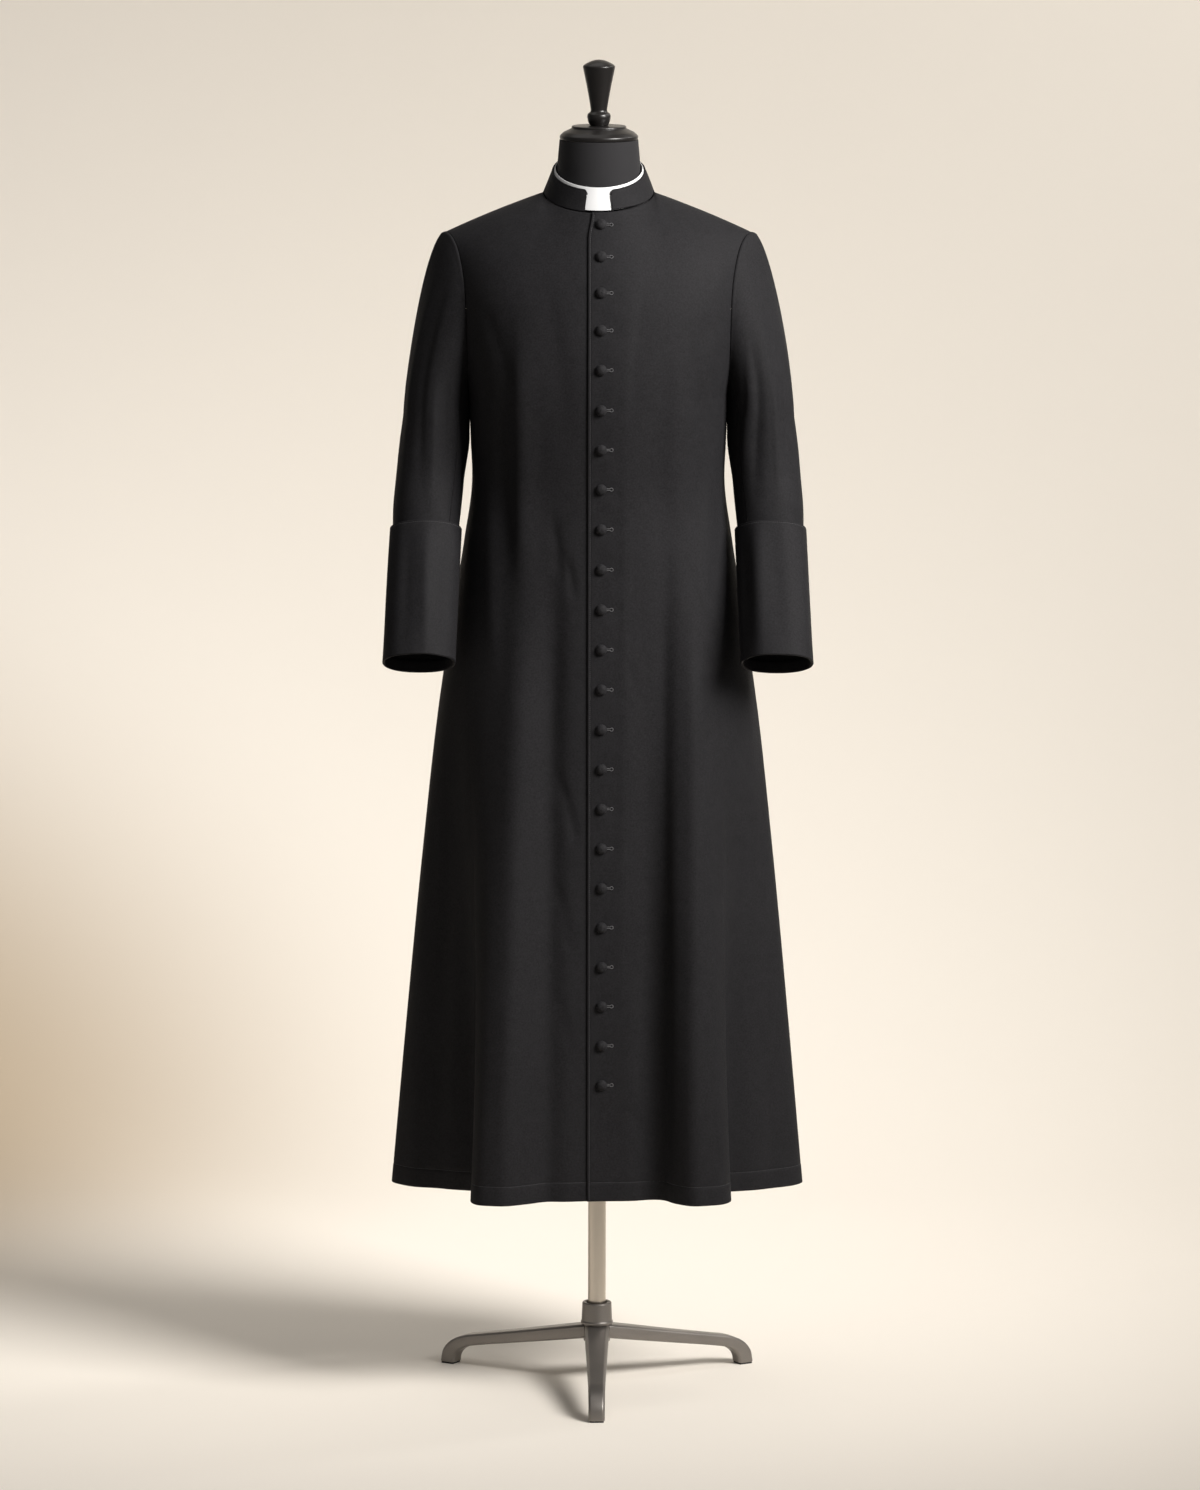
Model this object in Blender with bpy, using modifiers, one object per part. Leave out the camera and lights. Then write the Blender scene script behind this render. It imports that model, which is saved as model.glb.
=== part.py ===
"""A long black cassock with a standing collar, worn by a limbless dress form on a three-legged stand.

Metres, +Z up. The origin is on the floor, under the pole. The garment's front faces -Y, so the wearer's left
is at +X. Every cloth piece is a thin closed wall lofted through rings or sections of the tables below.
"""

import math
from types import SimpleNamespace

import bmesh
import bpy
import numpy as np
from mathutils import Matrix, Vector

COLLECTION = "cassock_on_dress_form"


class Table:
    """Rows of numbers under named columns, with a smooth curve through them. They are looked up by the key
    column, which rises from row to row."""

    def __init__(self, columns, rows, key=0):
        self.columns = columns
        self.key = key
        self.rows = np.array(sorted(rows, key=lambda row: row[key]), float)
        self.slopes = np.gradient(self.rows, self.rows[:, key], axis=0)

    def at(self, value):
        """Every column at a value of the key column."""
        keys = self.rows[:, self.key]
        i = int(np.clip(np.searchsorted(keys, value) - 1, 0, len(keys) - 2))
        span = keys[i + 1] - keys[i]
        start_pull, end_pull = span * self.slopes[i], span * self.slopes[i + 1]
        row = hermite(self.rows[i], start_pull, self.rows[i + 1], end_pull, (value - keys[i]) / span)
        return SimpleNamespace(**dict(zip(self.columns, row)))


def hermite(start, start_pull, end, end_pull, t):
    """A cubic from start to end, leaving along start_pull and arriving along end_pull."""
    return (
        (1 + 2 * t) * (1 - t) ** 2 * start
        + t * (1 - t) ** 2 * start_pull
        + t * t * (3 - 2 * t) * end
        - t * t * (1 - t) * end_pull
    )


# Cloth
WALL = 0.0016  # woollen cloth
SEAM = 0.00016  # each piece stops this far short of a seam, so two pieces are 0.3 mm apart
LEFT, RIGHT = 1, -1  # the wearer's left is at +X

# Heights of the garment
HEM = 0.305
UNDERARM = 1.490
RING_MIDDLE = 1.607  # widest level of the armhole
SHOULDER = (0.2272, 0.0, 1.724)  # outer end of the shoulder seam
SEAM_PULL_IN = np.array([0.146, 0.0, -0.052])  # the way the shoulder seam leaves the neck
SEAM_PULL_OUT = np.array([0.146, 0.0, -0.070])  # and meets the armhole

# Body of the garment: the centre front and centre back lie at -front and +back, the side seam at half_width.
BODY = Table(
    ("height", "half_width", "front", "back", "power"),
    [
        (0.305, 0.3062, 0.150, 0.236, 2.25),
        (0.550, 0.2842, 0.146, 0.206, 2.25),
        (0.800, 0.2602, 0.142, 0.178, 2.30),
        (1.030, 0.2346, 0.138, 0.150, 2.35),
        (1.150, 0.2170, 0.135, 0.133, 2.35),
        (1.270, 0.1976, 0.132, 0.112, 2.35),
        (1.360, 0.1858, 0.132, 0.099, 2.40),
        (1.420, 0.1878, 0.139, 0.102, 2.40),
        (1.490, 0.1905, 0.147, 0.109, 2.40),
        (1.550, 0.1920, 0.147, 0.113, 2.40),
        (1.607, 0.1935, 0.142, 0.114, 2.40),
        (1.660, 0.1960, 0.133, 0.112, 2.40),
    ],
)

# Folds of the skirt: angle round the section from the centre front (90 is the side seam, 180 the centre
# back), where that point of the hem is moved to, outward and round the body, and the height it begins at.
FOLD_EASE = 0.55  # share of a fold that starts softly; the rest deepens evenly
FOLD_COLUMNS = ("angle", "outward", "round", "top")
FOLDS = {
    LEFT: Table(FOLD_COLUMNS, [
        (-10, -0.002, 0.001, 1.15),
        (0, -0.010, 0.000, 1.15),
        (10, -0.011, 0.000, 1.25),
        (16, -0.007, 0.000, 1.32),
        (23, 0.026, 0.001, 1.36),
        (30, 0.036, -0.008, 1.34),
        (38, 0.033, -0.020, 1.26),
        (44, 0.014, -0.032, 1.14),
        (52, -0.028, -0.057, 1.12),
        (61, -0.060, -0.057, 1.10),
        (74, -0.031, -0.019, 1.10),
        (90, 0.000, 0.000, 1.10),
        (100, -0.008, 0.000, 1.10),
        (112, -0.048, 0.020, 1.12),
        (122, -0.026, 0.028, 1.14),
        (136, 0.030, 0.004, 1.18),
        (147, 0.014, -0.010, 1.18),
        (156, -0.034, -0.006, 1.20),
        (168, 0.032, 0.006, 1.22),
        (180, -0.016, 0.000, 1.20),
        (192, 0.032, 0.000, 1.20),
    ]),
    RIGHT: Table(FOLD_COLUMNS, [
        (-10, -0.011, 0.000, 1.15),
        (0, -0.010, 0.000, 1.15),
        (9, -0.001, 0.001, 1.15),
        (20, 0.024, -0.002, 1.20),
        (29, 0.039, -0.013, 1.20),
        (37, 0.038, -0.027, 1.16),
        (43, 0.017, -0.041, 1.14),
        (51, -0.031, -0.066, 1.12),
        (60, -0.069, -0.062, 1.10),
        (73, -0.036, -0.018, 1.10),
        (90, 0.000, 0.000, 1.10),
        (101, -0.010, 0.000, 1.10),
        (114, -0.052, 0.020, 1.12),
        (124, -0.022, 0.026, 1.14),
        (139, 0.026, 0.004, 1.18),
        (149, 0.010, -0.008, 1.18),
        (158, -0.030, -0.006, 1.20),
        (169, 0.034, 0.004, 1.22),
        (180, -0.016, 0.000, 1.20),
        (192, 0.032, 0.000, 1.20),
    ]),
}

# Front opening: the wearer's left front laps over the right one, and both edges pass the centre line.
LEFT_EDGE = 0.0150  # how far the left front passes the centre
LEFT_EDGE_TOP = 0.0095  # its corner at the neck is cut back
RIGHT_EDGE = 0.0320  # the underlap, which carries the buttons
RIGHT_EDGE_TOP = 0.0160  # its corner at the neck, inside the collar's notch
CORNER_LEVEL = 2.72  # where both edges begin to slant to their corners
LAP_RISE = WALL + 0.0013  # the left front lies this much further out
LAP_FULL = 0.036  # over this width
LAP_FADE = 0.060  # and comes down to the body over this one

# Neckline: a tilted oval, and the standing collar on it
NECK_WIDTH = 0.0812
NECK_FRONT = 0.0850
NECK_BACK = 0.0750
NECK_HEIGHT = 1.784  # at the shoulder seams
NECK_TILT = 0.27  # rise towards the back
NECK_SHARE = 0.43  # share of a panel's width that ends on the neckline
COLLAR_WIDTH = 0.0680
COLLAR_FRONT = 0.0778
COLLAR_BACK = 0.0665
COLLAR_HEIGHT = 1.8145
COLLAR_TILT = 0.27
COLLAR_BACK_RISE = 0.006
COLLAR_WALL = 0.0022
COLLAR_NOTCH = 0.0207  # half the gap between its ends at the seam
COLLAR_NOTCH_SPREAD = 0.0026  # the ends lean apart by this
COLLAR_CORNER = 0.0050
COLLAR_FOOT = 0.0007  # its foot is this far above the neckline
INSERT_WALL = 0.0011
INSERT_GAP = 0.0006
INSERT_FOOT = 0.10  # share of the collar's height where the insert starts
INSERT_HEAD = 0.0042  # it stands this far above the collar

# Armhole: half depths of its oval
ARMHOLE_FRONT = 0.0700
ARMHOLE_BACK = 0.0720

# Sleeve: sections square to the arm, from below the underarm to inside the cuff
SLEEVE = Table(
    ("x", "y", "z", "half_width", "half_depth", "lean"),
    [
        (0.2408, 0.000, 1.455, 0.0470, 0.0680, 2),
        (0.2440, -0.004, 1.410, 0.0498, 0.0640, 7),
        (0.2475, -0.014, 1.362, 0.0506, 0.0590, 15),
        (0.2515, -0.030, 1.320, 0.0500, 0.0530, 21),
        (0.2535, -0.044, 1.285, 0.0482, 0.0460, 24),
        (0.2580, -0.088, 1.188, 0.0480, 0.0455, 24),
        (0.2602, -0.110, 1.140, 0.0475, 0.0455, 24),
    ],
    key=2,
)
SLEEVE_START = 1.455  # height of the first section below the underarm
SLEEVE_END = 1.140
ARM_POWER = 2.2  # squareness of the arm's sections
FRONT_SEAM = 1.5  # the sleeve's seams, counted in quarters round the armhole from the shoulder
BACK_SEAM = 3.0

# Turned-back cuff
CUFF = Table(
    SLEEVE.columns,
    [
        (0.2530, -0.0420, 1.2910, 0.0528, 0.0510, 24),
        (0.2575, -0.0860, 1.1930, 0.0530, 0.0512, 24),
        (0.2612, -0.1205, 1.1160, 0.0534, 0.0515, 24),
        (0.2618, -0.1258, 1.1040, 0.0536, 0.0516, 24),
    ],
    key=2,
)
CUFF_TOP = 1.2910
CUFF_END = 1.1040
CUFF_WALL = 0.0018
CUFF_HEM_WALL = 0.0040  # the turned-in edge
CUFF_HEM = 0.016

# Buttons: spaced along the closed front
BUTTON_COUNT = 23
BUTTON_RADIUS = 0.0082
BUTTON_HEIGHT = 0.0066
BUTTON_TOP = 1.7450
BUTTON_STEPS = (0.0450, 0.0510, 0.0535, 0.0575)  # the first ones, in height
BUTTON_STEP = 0.0588
BUTTON_X = (0.0036, 0.0064)  # at the top and the bottom of the row
BUTTON_CLEAR = 0.0005

# Dress form: a closed torso and neck
FORM = Table(
    BODY.columns,
    [
        (0.992, 0.150, 0.094, 0.094, 2.2),
        (1.004, 0.172, 0.109, 0.112, 2.2),
        (1.060, 0.188, 0.121, 0.128, 2.2),
        (1.150, 0.190, 0.120, 0.118, 2.2),
        (1.270, 0.177, 0.116, 0.098, 2.2),
        (1.360, 0.170, 0.117, 0.086, 2.2),
        (1.490, 0.176, 0.131, 0.094, 2.2),
        (1.607, 0.182, 0.124, 0.098, 2.2),
        (1.680, 0.183, 0.106, 0.094, 2.1),
        (1.718, 0.170, 0.082, 0.078, 2.0),
        (1.742, 0.138, 0.069, 0.068, 2.0),
        (1.760, 0.098, 0.064, 0.064, 2.0),
        (1.776, 0.073, 0.063, 0.063, 2.0),
        (1.800, 0.0625, 0.0620, 0.0620, 2.0),
        (1.830, 0.0603, 0.0603, 0.0603, 2.0),
        (1.8605, 0.0577, 0.0577, 0.0577, 2.0),
    ],
)

# Neck cap and its handle: radius and height down the outer side
CAP = [
    (0.0000, 1.8815),
    (0.0392, 1.8812),
    (0.0402, 1.8795),
    (0.0398, 1.8778),
    (0.0430, 1.8762),
    (0.0520, 1.8718),
    (0.0556, 1.8685),
    (0.0572, 1.8668),
    (0.0575, 1.8645),
    (0.0568, 1.8610),
    (0.0000, 1.8608),
]
HANDLE = [
    (0.0000, 1.9780),
    (0.0080, 1.9770),
    (0.0160, 1.9738),
    (0.0220, 1.9702),
    (0.0238, 1.9680),
    (0.0232, 1.9645),
    (0.0180, 1.9400),
    (0.0140, 1.9180),
    (0.0119, 1.9040),
    (0.0128, 1.9015),
    (0.0166, 1.8985),
    (0.0174, 1.8948),
    (0.0164, 1.8885),
    (0.0140, 1.8832),
    (0.0136, 1.8818),
    (0.0000, 1.8818),
]

# Stand
POLE_RADIUS = 0.0133
POLE_TOP = 0.9917
POLE_FOOT = 0.0803
HUB = [
    (0.0157, 0.1212),
    (0.0170, 0.1228),
    (0.0206, 0.1228),
    (0.0218, 0.1214),
    (0.0228, 0.0950),
    (0.0240, 0.0938),
    (0.0240, 0.0908),
    (0.0228, 0.0898),
    (0.0200, 0.0895),
    (0.0198, 0.0640),
    (0.0180, 0.0625),
    (0.0000, 0.0625),
]
HUB_SOCKET = (0.0157, 0.0800)  # radius and floor of the blind hole that takes the pole
LEG_ANGLES = (-90, 30, 150)
LEG = Table(
    ("reach", "height", "half_thickness", "half_width", "slope"),
    [
        (0.0226, 0.0772, 0.0112, 0.0182, -9),
        (0.0600, 0.0695, 0.0102, 0.0168, -10),
        (0.1300, 0.0562, 0.0092, 0.0146, -11),
        (0.2000, 0.0433, 0.0086, 0.0128, -12),
        (0.2240, 0.0380, 0.0090, 0.0124, -20),
        (0.2420, 0.0290, 0.0104, 0.0122, -42),
        (0.2520, 0.0170, 0.0118, 0.0121, -68),
        (0.2550, 0.0026, 0.0122, 0.0120, -90),
    ],
)
LEG_CHAMFER = 0.25  # share of a half side cut off each corner
PAD_THICK = 0.0020
PAD_REACH = 0.2550  # from the pole to the middle of a pad
PAD_RADIAL = 0.0216
PAD_WIDTH = 0.0216

# Colour, roughness and metallic value of each finish
FINISHES = {
    "wool": ((0.012, 0.012, 0.013), 0.85, 0.0),
    "white_band": ((0.85, 0.85, 0.84), 0.35, 0.0),
    "form_cover": ((0.016, 0.015, 0.016), 0.90, 0.0),
    "black_lacquer": ((0.010, 0.009, 0.009), 0.30, 0.0),
    "nickel": ((0.52, 0.48, 0.42), 0.30, 1.0),
    "coated_steel": ((0.12, 0.11, 0.10), 0.45, 0.6),
    "rubber": ((0.02, 0.02, 0.02), 0.80, 0.0),
}


def unit(vector):
    return vector / np.linalg.norm(vector)


def ease(t):
    """0 to 1 with a soft start and end."""
    t = min(max(t, 0.0), 1.0)
    return t * t * (3 - 2 * t)


def oval(angle, size):
    """A point of a squarish oval of a table's row. The angle is 0 at the centre front and pi at the centre
    back."""
    s, c = math.sin(angle), math.cos(angle)
    reach = (abs(s) ** size.power + abs(c) ** size.power) ** (1 / size.power)
    depth = size.front if c > 0 else size.back
    return np.array([size.half_width * s / reach, -depth * c / reach])


def skirt_point(side, angle, height):
    """A point of the body below the underarm, with its folds. A negative angle is past the centre front, on
    the other side's folds."""
    if angle < 0:
        return skirt_point(-side, -angle, height) * np.array([-1, 1, 1])
    size = BODY.at(height)
    step = 0.01
    along = unit(oval(angle + step, size) - oval(angle - step, size))
    outward = np.array([along[1], -along[0]])
    fold = FOLDS[side].at(math.degrees(angle))
    depth = (fold.top - height) / (fold.top - HEM)
    growth = FOLD_EASE * ease(depth) + (1 - FOLD_EASE) * max(0.0, depth)
    point = oval(angle, size) + growth * (fold.outward * outward + fold.round * along)
    return np.array([point[0], point[1], height])


def armhole_point(half, height):
    """The armhole's edge between the underarm and its widest level."""
    depth = ARMHOLE_FRONT if half == "front" else ARMHOLE_BACK
    level = min(1.0, (RING_MIDDLE - height) / (RING_MIDDLE - UNDERARM))
    y = depth * math.sqrt(max(0.0, 1 - level * level))
    return BODY.at(height).half_width, -y if half == "front" else y


def chest_point(half, across, height):
    """A point of the body between the underarm and the armhole's widest level; across is 0 at the centre
    line and 1 at the armhole."""
    size = BODY.at(height)
    x, y = armhole_point(half, height)
    share = abs(y) / (size.front if half == "front" else size.back)
    size.half_width = x / (1 - share**size.power) ** (1 / size.power)
    angle = across * math.atan2(x / size.half_width, share)
    point = oval(angle if half == "front" else math.pi - angle, size)
    return np.array([point[0], point[1], height])


def neckline_point(angle, width=NECK_WIDTH, front=NECK_FRONT, back=NECK_BACK, height=NECK_HEIGHT, tilt=NECK_TILT):
    """A point of a tilted oval round the neck; the angle is 0 at the front."""
    c = math.cos(angle)
    y = -(front if c > 0 else back) * c
    return np.array([width * math.sin(angle), y, height + tilt * y])


def shoulder_seam(share):
    """A point of the shoulder seam, from the neckline (0) to the armhole (1)."""
    return hermite(neckline_point(math.pi / 2), SEAM_PULL_IN, np.array(SHOULDER), SEAM_PULL_OUT, share)


def shoulder_point(half, across, rise):
    """A point above the armhole's widest level. rise goes from 0 there to 1 at the neckline and the shoulder
    seam."""
    low = chest_point(half, across, RING_MIDDLE)
    step = 0.004
    slope = (low - chest_point(half, across, RING_MIDDLE - step)) / step
    if across < NECK_SHARE:
        turn = across / NECK_SHARE * math.pi / 2
        high = neckline_point(turn if half == "front" else math.pi - turn)
        lean = 0.85 * math.cos(turn)
        fall = SEAM_PULL_IN[2] / SEAM_PULL_IN[0] * math.sin(turn)
    else:
        share = (across - NECK_SHARE) / (1 - NECK_SHARE)
        high = shoulder_seam(share)
        lean = 0.0
        run = shoulder_seam(share + step) - shoulder_seam(share - step)
        fall = run[2] / run[0]
    gain = high - low
    round_off = ease(across)
    start_pull = slope * gain[2] * (1.05 + 0.60 * round_off)
    end_x = gain[0] * (1 + 0.9 * round_off)
    end_pull = np.array([end_x, 1.45 * gain[1], lean * gain[2] + fall * end_x])
    start_pull[0] = start_pull[0] * 0.3 + gain[0] * 0.4 * (1 - round_off)
    return hermite(low, start_pull, high, end_pull, rise)


def panel_point(side, half, across, level):
    """A point of a body panel's outer face on the +X side. across runs from the centre line (0) to the side
    seam or the armhole (1), level from the hem (0) by the underarm (1) and the armhole's widest level (2) to
    the neckline and the shoulder seam (3)."""
    if level <= 1:
        height = HEM + (UNDERARM - HEM) * level
        angle = across * math.pi / 2
        return skirt_point(side, angle if half == "front" else math.pi - angle, height)
    if level <= 2:
        height = RING_MIDDLE - (RING_MIDDLE - UNDERARM) * math.cos((level - 1) * math.pi / 2)
        return chest_point(half, across, height)
    return shoulder_point(half, across, level - 2)


def panel_normal(side, half, across, level):
    """The outward direction of the panel's face."""
    step = 0.012
    up = panel_point(side, half, across, level + step) - panel_point(side, half, across, level - step)
    round_body = panel_point(side, half, across + step, level) - panel_point(side, half, across - step, level)
    normal = np.cross(round_body, up)
    if half == "back":
        normal = -normal
    return unit(normal)


def front_start(side, level):
    """Where across a front panel begins: past the centre line, so it is below zero."""
    edge, top = (RIGHT_EDGE, RIGHT_EDGE_TOP) if side == RIGHT else (LEFT_EDGE, LEFT_EDGE_TOP)
    edge += (top - edge) * ease((level - CORNER_LEVEL) / (3 - CORNER_LEVEL))
    low, high = -0.6, 0.0
    for _ in range(24):
        middle = (low + high) / 2
        if panel_point(side, "front", middle, level)[0] < -edge:
            low = middle
        else:
            high = middle
    return (low + high) / 2


def inset(grid, first_row, last_row, first_column, last_column):
    """Draws the grid's borders in by half a seam where the flags ask for it."""
    grid = grid.copy()
    if first_row:
        grid[0] += SEAM * np.array([unit(v) for v in grid[1] - grid[0]])
    if last_row:
        grid[-1] += SEAM * np.array([unit(v) for v in grid[-2] - grid[-1]])
    if first_column:
        grid[:, 0] += SEAM * np.array([unit(v) for v in grid[:, 1] - grid[:, 0]])
    if last_column:
        grid[:, -1] += SEAM * np.array([unit(v) for v in grid[:, -2] - grid[:, -1]])
    return grid


def material(name):
    """The shared material of a finish."""
    found = bpy.data.materials.get(name)
    if found:
        return found
    colour, roughness, metallic = FINISHES[name]
    made = bpy.data.materials.new(name)
    made.use_nodes = True
    shader = made.node_tree.nodes["Principled BSDF"]
    shader.inputs["Base Color"].default_value = (*colour, 1)
    shader.inputs["Roughness"].default_value = roughness
    shader.inputs["Metallic"].default_value = metallic
    made.diffuse_color = (*colour, 1)
    return made


def add_object(name, mesh, finish, smooth=True):
    """Puts a mesh in the model's collection under its node's name."""
    mesh.name = name
    obj = bpy.data.objects.new(name, mesh)
    mesh.materials.clear()
    mesh.materials.append(material(finish))
    if smooth:
        mesh.shade_smooth()
        mesh.set_sharp_from_angle(angle=math.radians(35))
    bpy.data.collections[COLLECTION].objects.link(obj)
    return obj


def wall_from_grids(name, outer, inner, finish, closed=False):
    """A closed wall between two grids of points, rows by columns. A closed one goes all the way round, so
    its last column is followed by its first."""
    rows, columns = outer.shape[:2]
    mesh = bpy.data.meshes.new(name)
    bm = bmesh.new()
    out = [[bm.verts.new(p) for p in row] for row in outer]
    back = [[bm.verts.new(p) for p in row] for row in inner]
    spans = columns if closed else columns - 1
    for i in range(rows - 1):
        for j in range(spans):
            k = (j + 1) % columns
            bm.faces.new((out[i][j], out[i][k], out[i + 1][k], out[i + 1][j]))
            bm.faces.new((back[i][j], back[i + 1][j], back[i + 1][k], back[i][k]))
    for j in range(spans):
        k = (j + 1) % columns
        bm.faces.new((out[0][j], back[0][j], back[0][k], out[0][k]))
        bm.faces.new((out[-1][j], out[-1][k], back[-1][k], back[-1][j]))
    if not closed:
        for i in range(rows - 1):
            bm.faces.new((out[i][0], out[i + 1][0], back[i + 1][0], back[i][0]))
            bm.faces.new((out[i][-1], back[i][-1], back[i + 1][-1], out[i + 1][-1]))
    bmesh.ops.recalc_face_normals(bm, faces=bm.faces)
    bm.to_mesh(mesh)
    bm.free()
    return add_object(name, mesh, finish)


def panel_levels():
    """The levels of a body panel's rows."""
    heights = [HEM, 0.42, 0.54, 0.66, 0.78, 0.90, 1.01, 1.10, 1.18, 1.25, 1.31, 1.365, 1.42, UNDERARM]
    skirt = [(height - HEM) / (UNDERARM - HEM) for height in heights]
    ring = [1.24, 1.5, 1.75, 2.0]
    shoulder = [2.2, 2.4, 2.6, 2.8, 3.0]
    return skirt + ring + shoulder


def panel_columns(side, half, start):
    """Where across a row its points lie, closest at the opening; one falls on the neck end of the shoulder
    seam."""
    shared = [0.0, 0.055, 0.11, 0.17, 0.235, 0.30, 0.365, NECK_SHARE, 0.51, 0.60, 0.69, 0.78, 0.87, 0.94, 1.0]
    if half == "back":
        return shared[:1] + shared[2:]
    if side == RIGHT:
        return [start, start / 2] + shared
    return [start] + shared


def lap_rise(x):
    """How much further out the overlapping front lies at a distance from the centre line."""
    return LAP_RISE * (1 - ease((x - LAP_FULL) / LAP_FADE))


def make_panel(name, side, half):
    """A front or a back, from the hem to the neckline and the shoulder seam."""
    levels = panel_levels()
    grid, normals = [], []
    for level in levels:
        start = front_start(side, level) if half == "front" else 0.0
        row, row_normals = [], []
        for across in panel_columns(side, half, start):
            point = panel_point(side, half, across, level)
            normal = panel_normal(side, half, across, level)
            if half == "front" and side == LEFT:
                point = point + lap_rise(point[0]) * normal
            row.append(point)
            row_normals.append(normal)
        grid.append(row)
        normals.append(row_normals)
    outer = np.array(grid)
    outer = inset(outer, False, True, half == "back", True)
    inner = outer - WALL * np.array(normals)
    if side == RIGHT:
        outer[..., 0] *= -1
        inner[..., 0] *= -1
    return wall_from_grids(name, outer, inner, "wool")


def armhole_ring(side, quarter):
    """A point of the armhole on the +X side: quarter is 0 at the shoulder, 1 in front, 2 under the arm, 3
    behind and 4 at the shoulder again."""
    if quarter <= 2:
        return panel_point(side, "front", 1.0, 3 - quarter)
    return panel_point(side, "back", 1.0, quarter - 1)


def arm_section(table, height, quarter):
    """A point of the arm's section with its centre at a height; the quarters count as round the armhole."""
    row = table.at(height)
    turn = quarter * math.pi / 2
    s, c = math.sin(turn), math.cos(turn)
    reach = (abs(s) ** ARM_POWER + abs(c) ** ARM_POWER) ** (1 / ARM_POWER)
    lean = math.radians(row.lean)
    forward = row.half_depth * s / reach
    x = row.x + row.half_width * c / reach
    return np.array([x, row.y - forward * math.cos(lean), row.z + forward * math.sin(lean)])


def sleeve_point(side, quarter, down):
    """A point of the sleeve: down is 0 at the armhole, 1 at the first section below the underarm and 2 at the
    sleeve's end inside the cuff."""
    if down > 1:
        return arm_section(SLEEVE, SLEEVE_START + (SLEEVE_END - SLEEVE_START) * (down - 1), quarter)
    start = armhole_ring(side, quarter)
    end = arm_section(SLEEVE, SLEEVE_START, quarter)
    high = 0.5 + 0.5 * math.cos(quarter * math.pi / 2)  # 1 at the shoulder, 0 under the arm
    forward = math.sin(quarter * math.pi / 2)
    drop = start[2] - end[2]
    start_pull = np.array([0.014 + 0.046 * high, -0.016 * forward * (1 - high), -0.10 * (1 - high) * drop])
    end_pull = np.array([0.012 * high, 0.0, -1.12 * drop])
    return hermite(start, start_pull, end, end_pull, down)


def sleeve_normal(side, quarter, down):
    """The outward direction of the sleeve's face."""
    step = 0.01
    low = max(down - step, 0.0)
    along = sleeve_point(side, quarter, down + step) - sleeve_point(side, quarter, low)
    around = sleeve_point(side, quarter + step, down) - sleeve_point(side, quarter - step, down)
    return unit(np.cross(around, along))


def make_sleeve_piece(name, side, quarters):
    """The top or the under sleeve, between its two lengthwise seams."""
    downs = [0.0, 0.12, 0.3, 0.55, 0.8, 1.0, 1.14, 1.28, 1.42, 1.6, 1.8, 2.0]
    grid = np.array([[sleeve_point(side, q % 4, d) for q in quarters] for d in downs])
    normals = np.array([[sleeve_normal(side, q % 4, d) for q in quarters] for d in downs])
    outer = inset(grid, True, False, True, True)
    inner = outer - WALL * normals
    if side == RIGHT:
        outer[..., 0] *= -1
        inner[..., 0] *= -1
    return wall_from_grids(name, outer, inner, "wool")


def ring_quarters(start, end):
    """The quarters of the armhole's vertices between two seams, matching the panels' rows."""
    levels = [level for level in panel_levels() if level >= 1]
    every = [3 - level for level in levels[::-1]] + [level + 1 for level in levels[1:]]
    inside = [q for q in every if start < q < end]
    return [start] + inside + [end]


def make_sleeve(side, word):
    """Both pieces of a two-piece sleeve. The top sleeve goes over the shoulder, from the back seam to the
    front one."""
    under = ring_quarters(FRONT_SEAM, BACK_SEAM)
    top = ring_quarters(BACK_SEAM, 4.0) + [q + 4 for q in ring_quarters(0.0, FRONT_SEAM)[1:]]
    make_sleeve_piece(f"sleeve_{word}_under", side, under)
    make_sleeve_piece(f"sleeve_{word}_top", side, top)


def make_cuff(side, word):
    """The cuff: a tube round the sleeve, thicker where its lower edge is turned in."""
    count = 22
    heights = [CUFF_TOP, 1.219, 1.160, CUFF_END + CUFF_HEM, CUFF_END + CUFF_HEM - 0.002, CUFF_END]
    quarters = [4 * i / count for i in range(count)]
    outer = np.array([[arm_section(CUFF, z, q) for q in quarters] for z in heights])
    centres = outer.mean(axis=1, keepdims=True)
    walls = np.array([CUFF_WALL, CUFF_WALL, CUFF_WALL, CUFF_WALL, CUFF_HEM_WALL, CUFF_HEM_WALL])
    away = outer - centres
    away /= np.linalg.norm(away, axis=2, keepdims=True)
    inner = outer - walls[:, None, None] * away
    if side == RIGHT:
        outer[..., 0] *= -1
        inner[..., 0] *= -1
    wall_from_grids(f"cuff_{word}", outer, inner, "wool", closed=True)


def collar_edges(angle):
    """The foot and the head of the collar's outer face at an angle round the neck."""
    foot = neckline_point(angle)
    head = neckline_point(angle, COLLAR_WIDTH, COLLAR_FRONT, COLLAR_BACK, COLLAR_HEIGHT, COLLAR_TILT)
    head[2] += COLLAR_BACK_RISE * (0.5 - 0.5 * math.cos(angle))
    return foot, head


def band_grids(angles, foots, heads, depth, wall):
    """Outer and inner grids of a band that lies a depth inside the collar's outer face."""
    outer, inner = [], []
    for share in (0.0, 0.5, 1.0):
        outer_row, inner_row = [], []
        for angle, foot_share, head_share in zip(angles, foots, heads):
            foot, head = collar_edges(angle)
            step = 0.01
            around = collar_edges(angle + step)[0] - collar_edges(angle - step)[0]
            outward = unit(np.cross(around, head - foot))
            point = foot + (head - foot) * (foot_share + (head_share - foot_share) * share)
            outer_row.append(point - depth * outward)
            inner_row.append(point - (depth + wall) * outward)
        outer.append(outer_row)
        inner.append(inner_row)
    return np.array(outer), np.array(inner)


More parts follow.
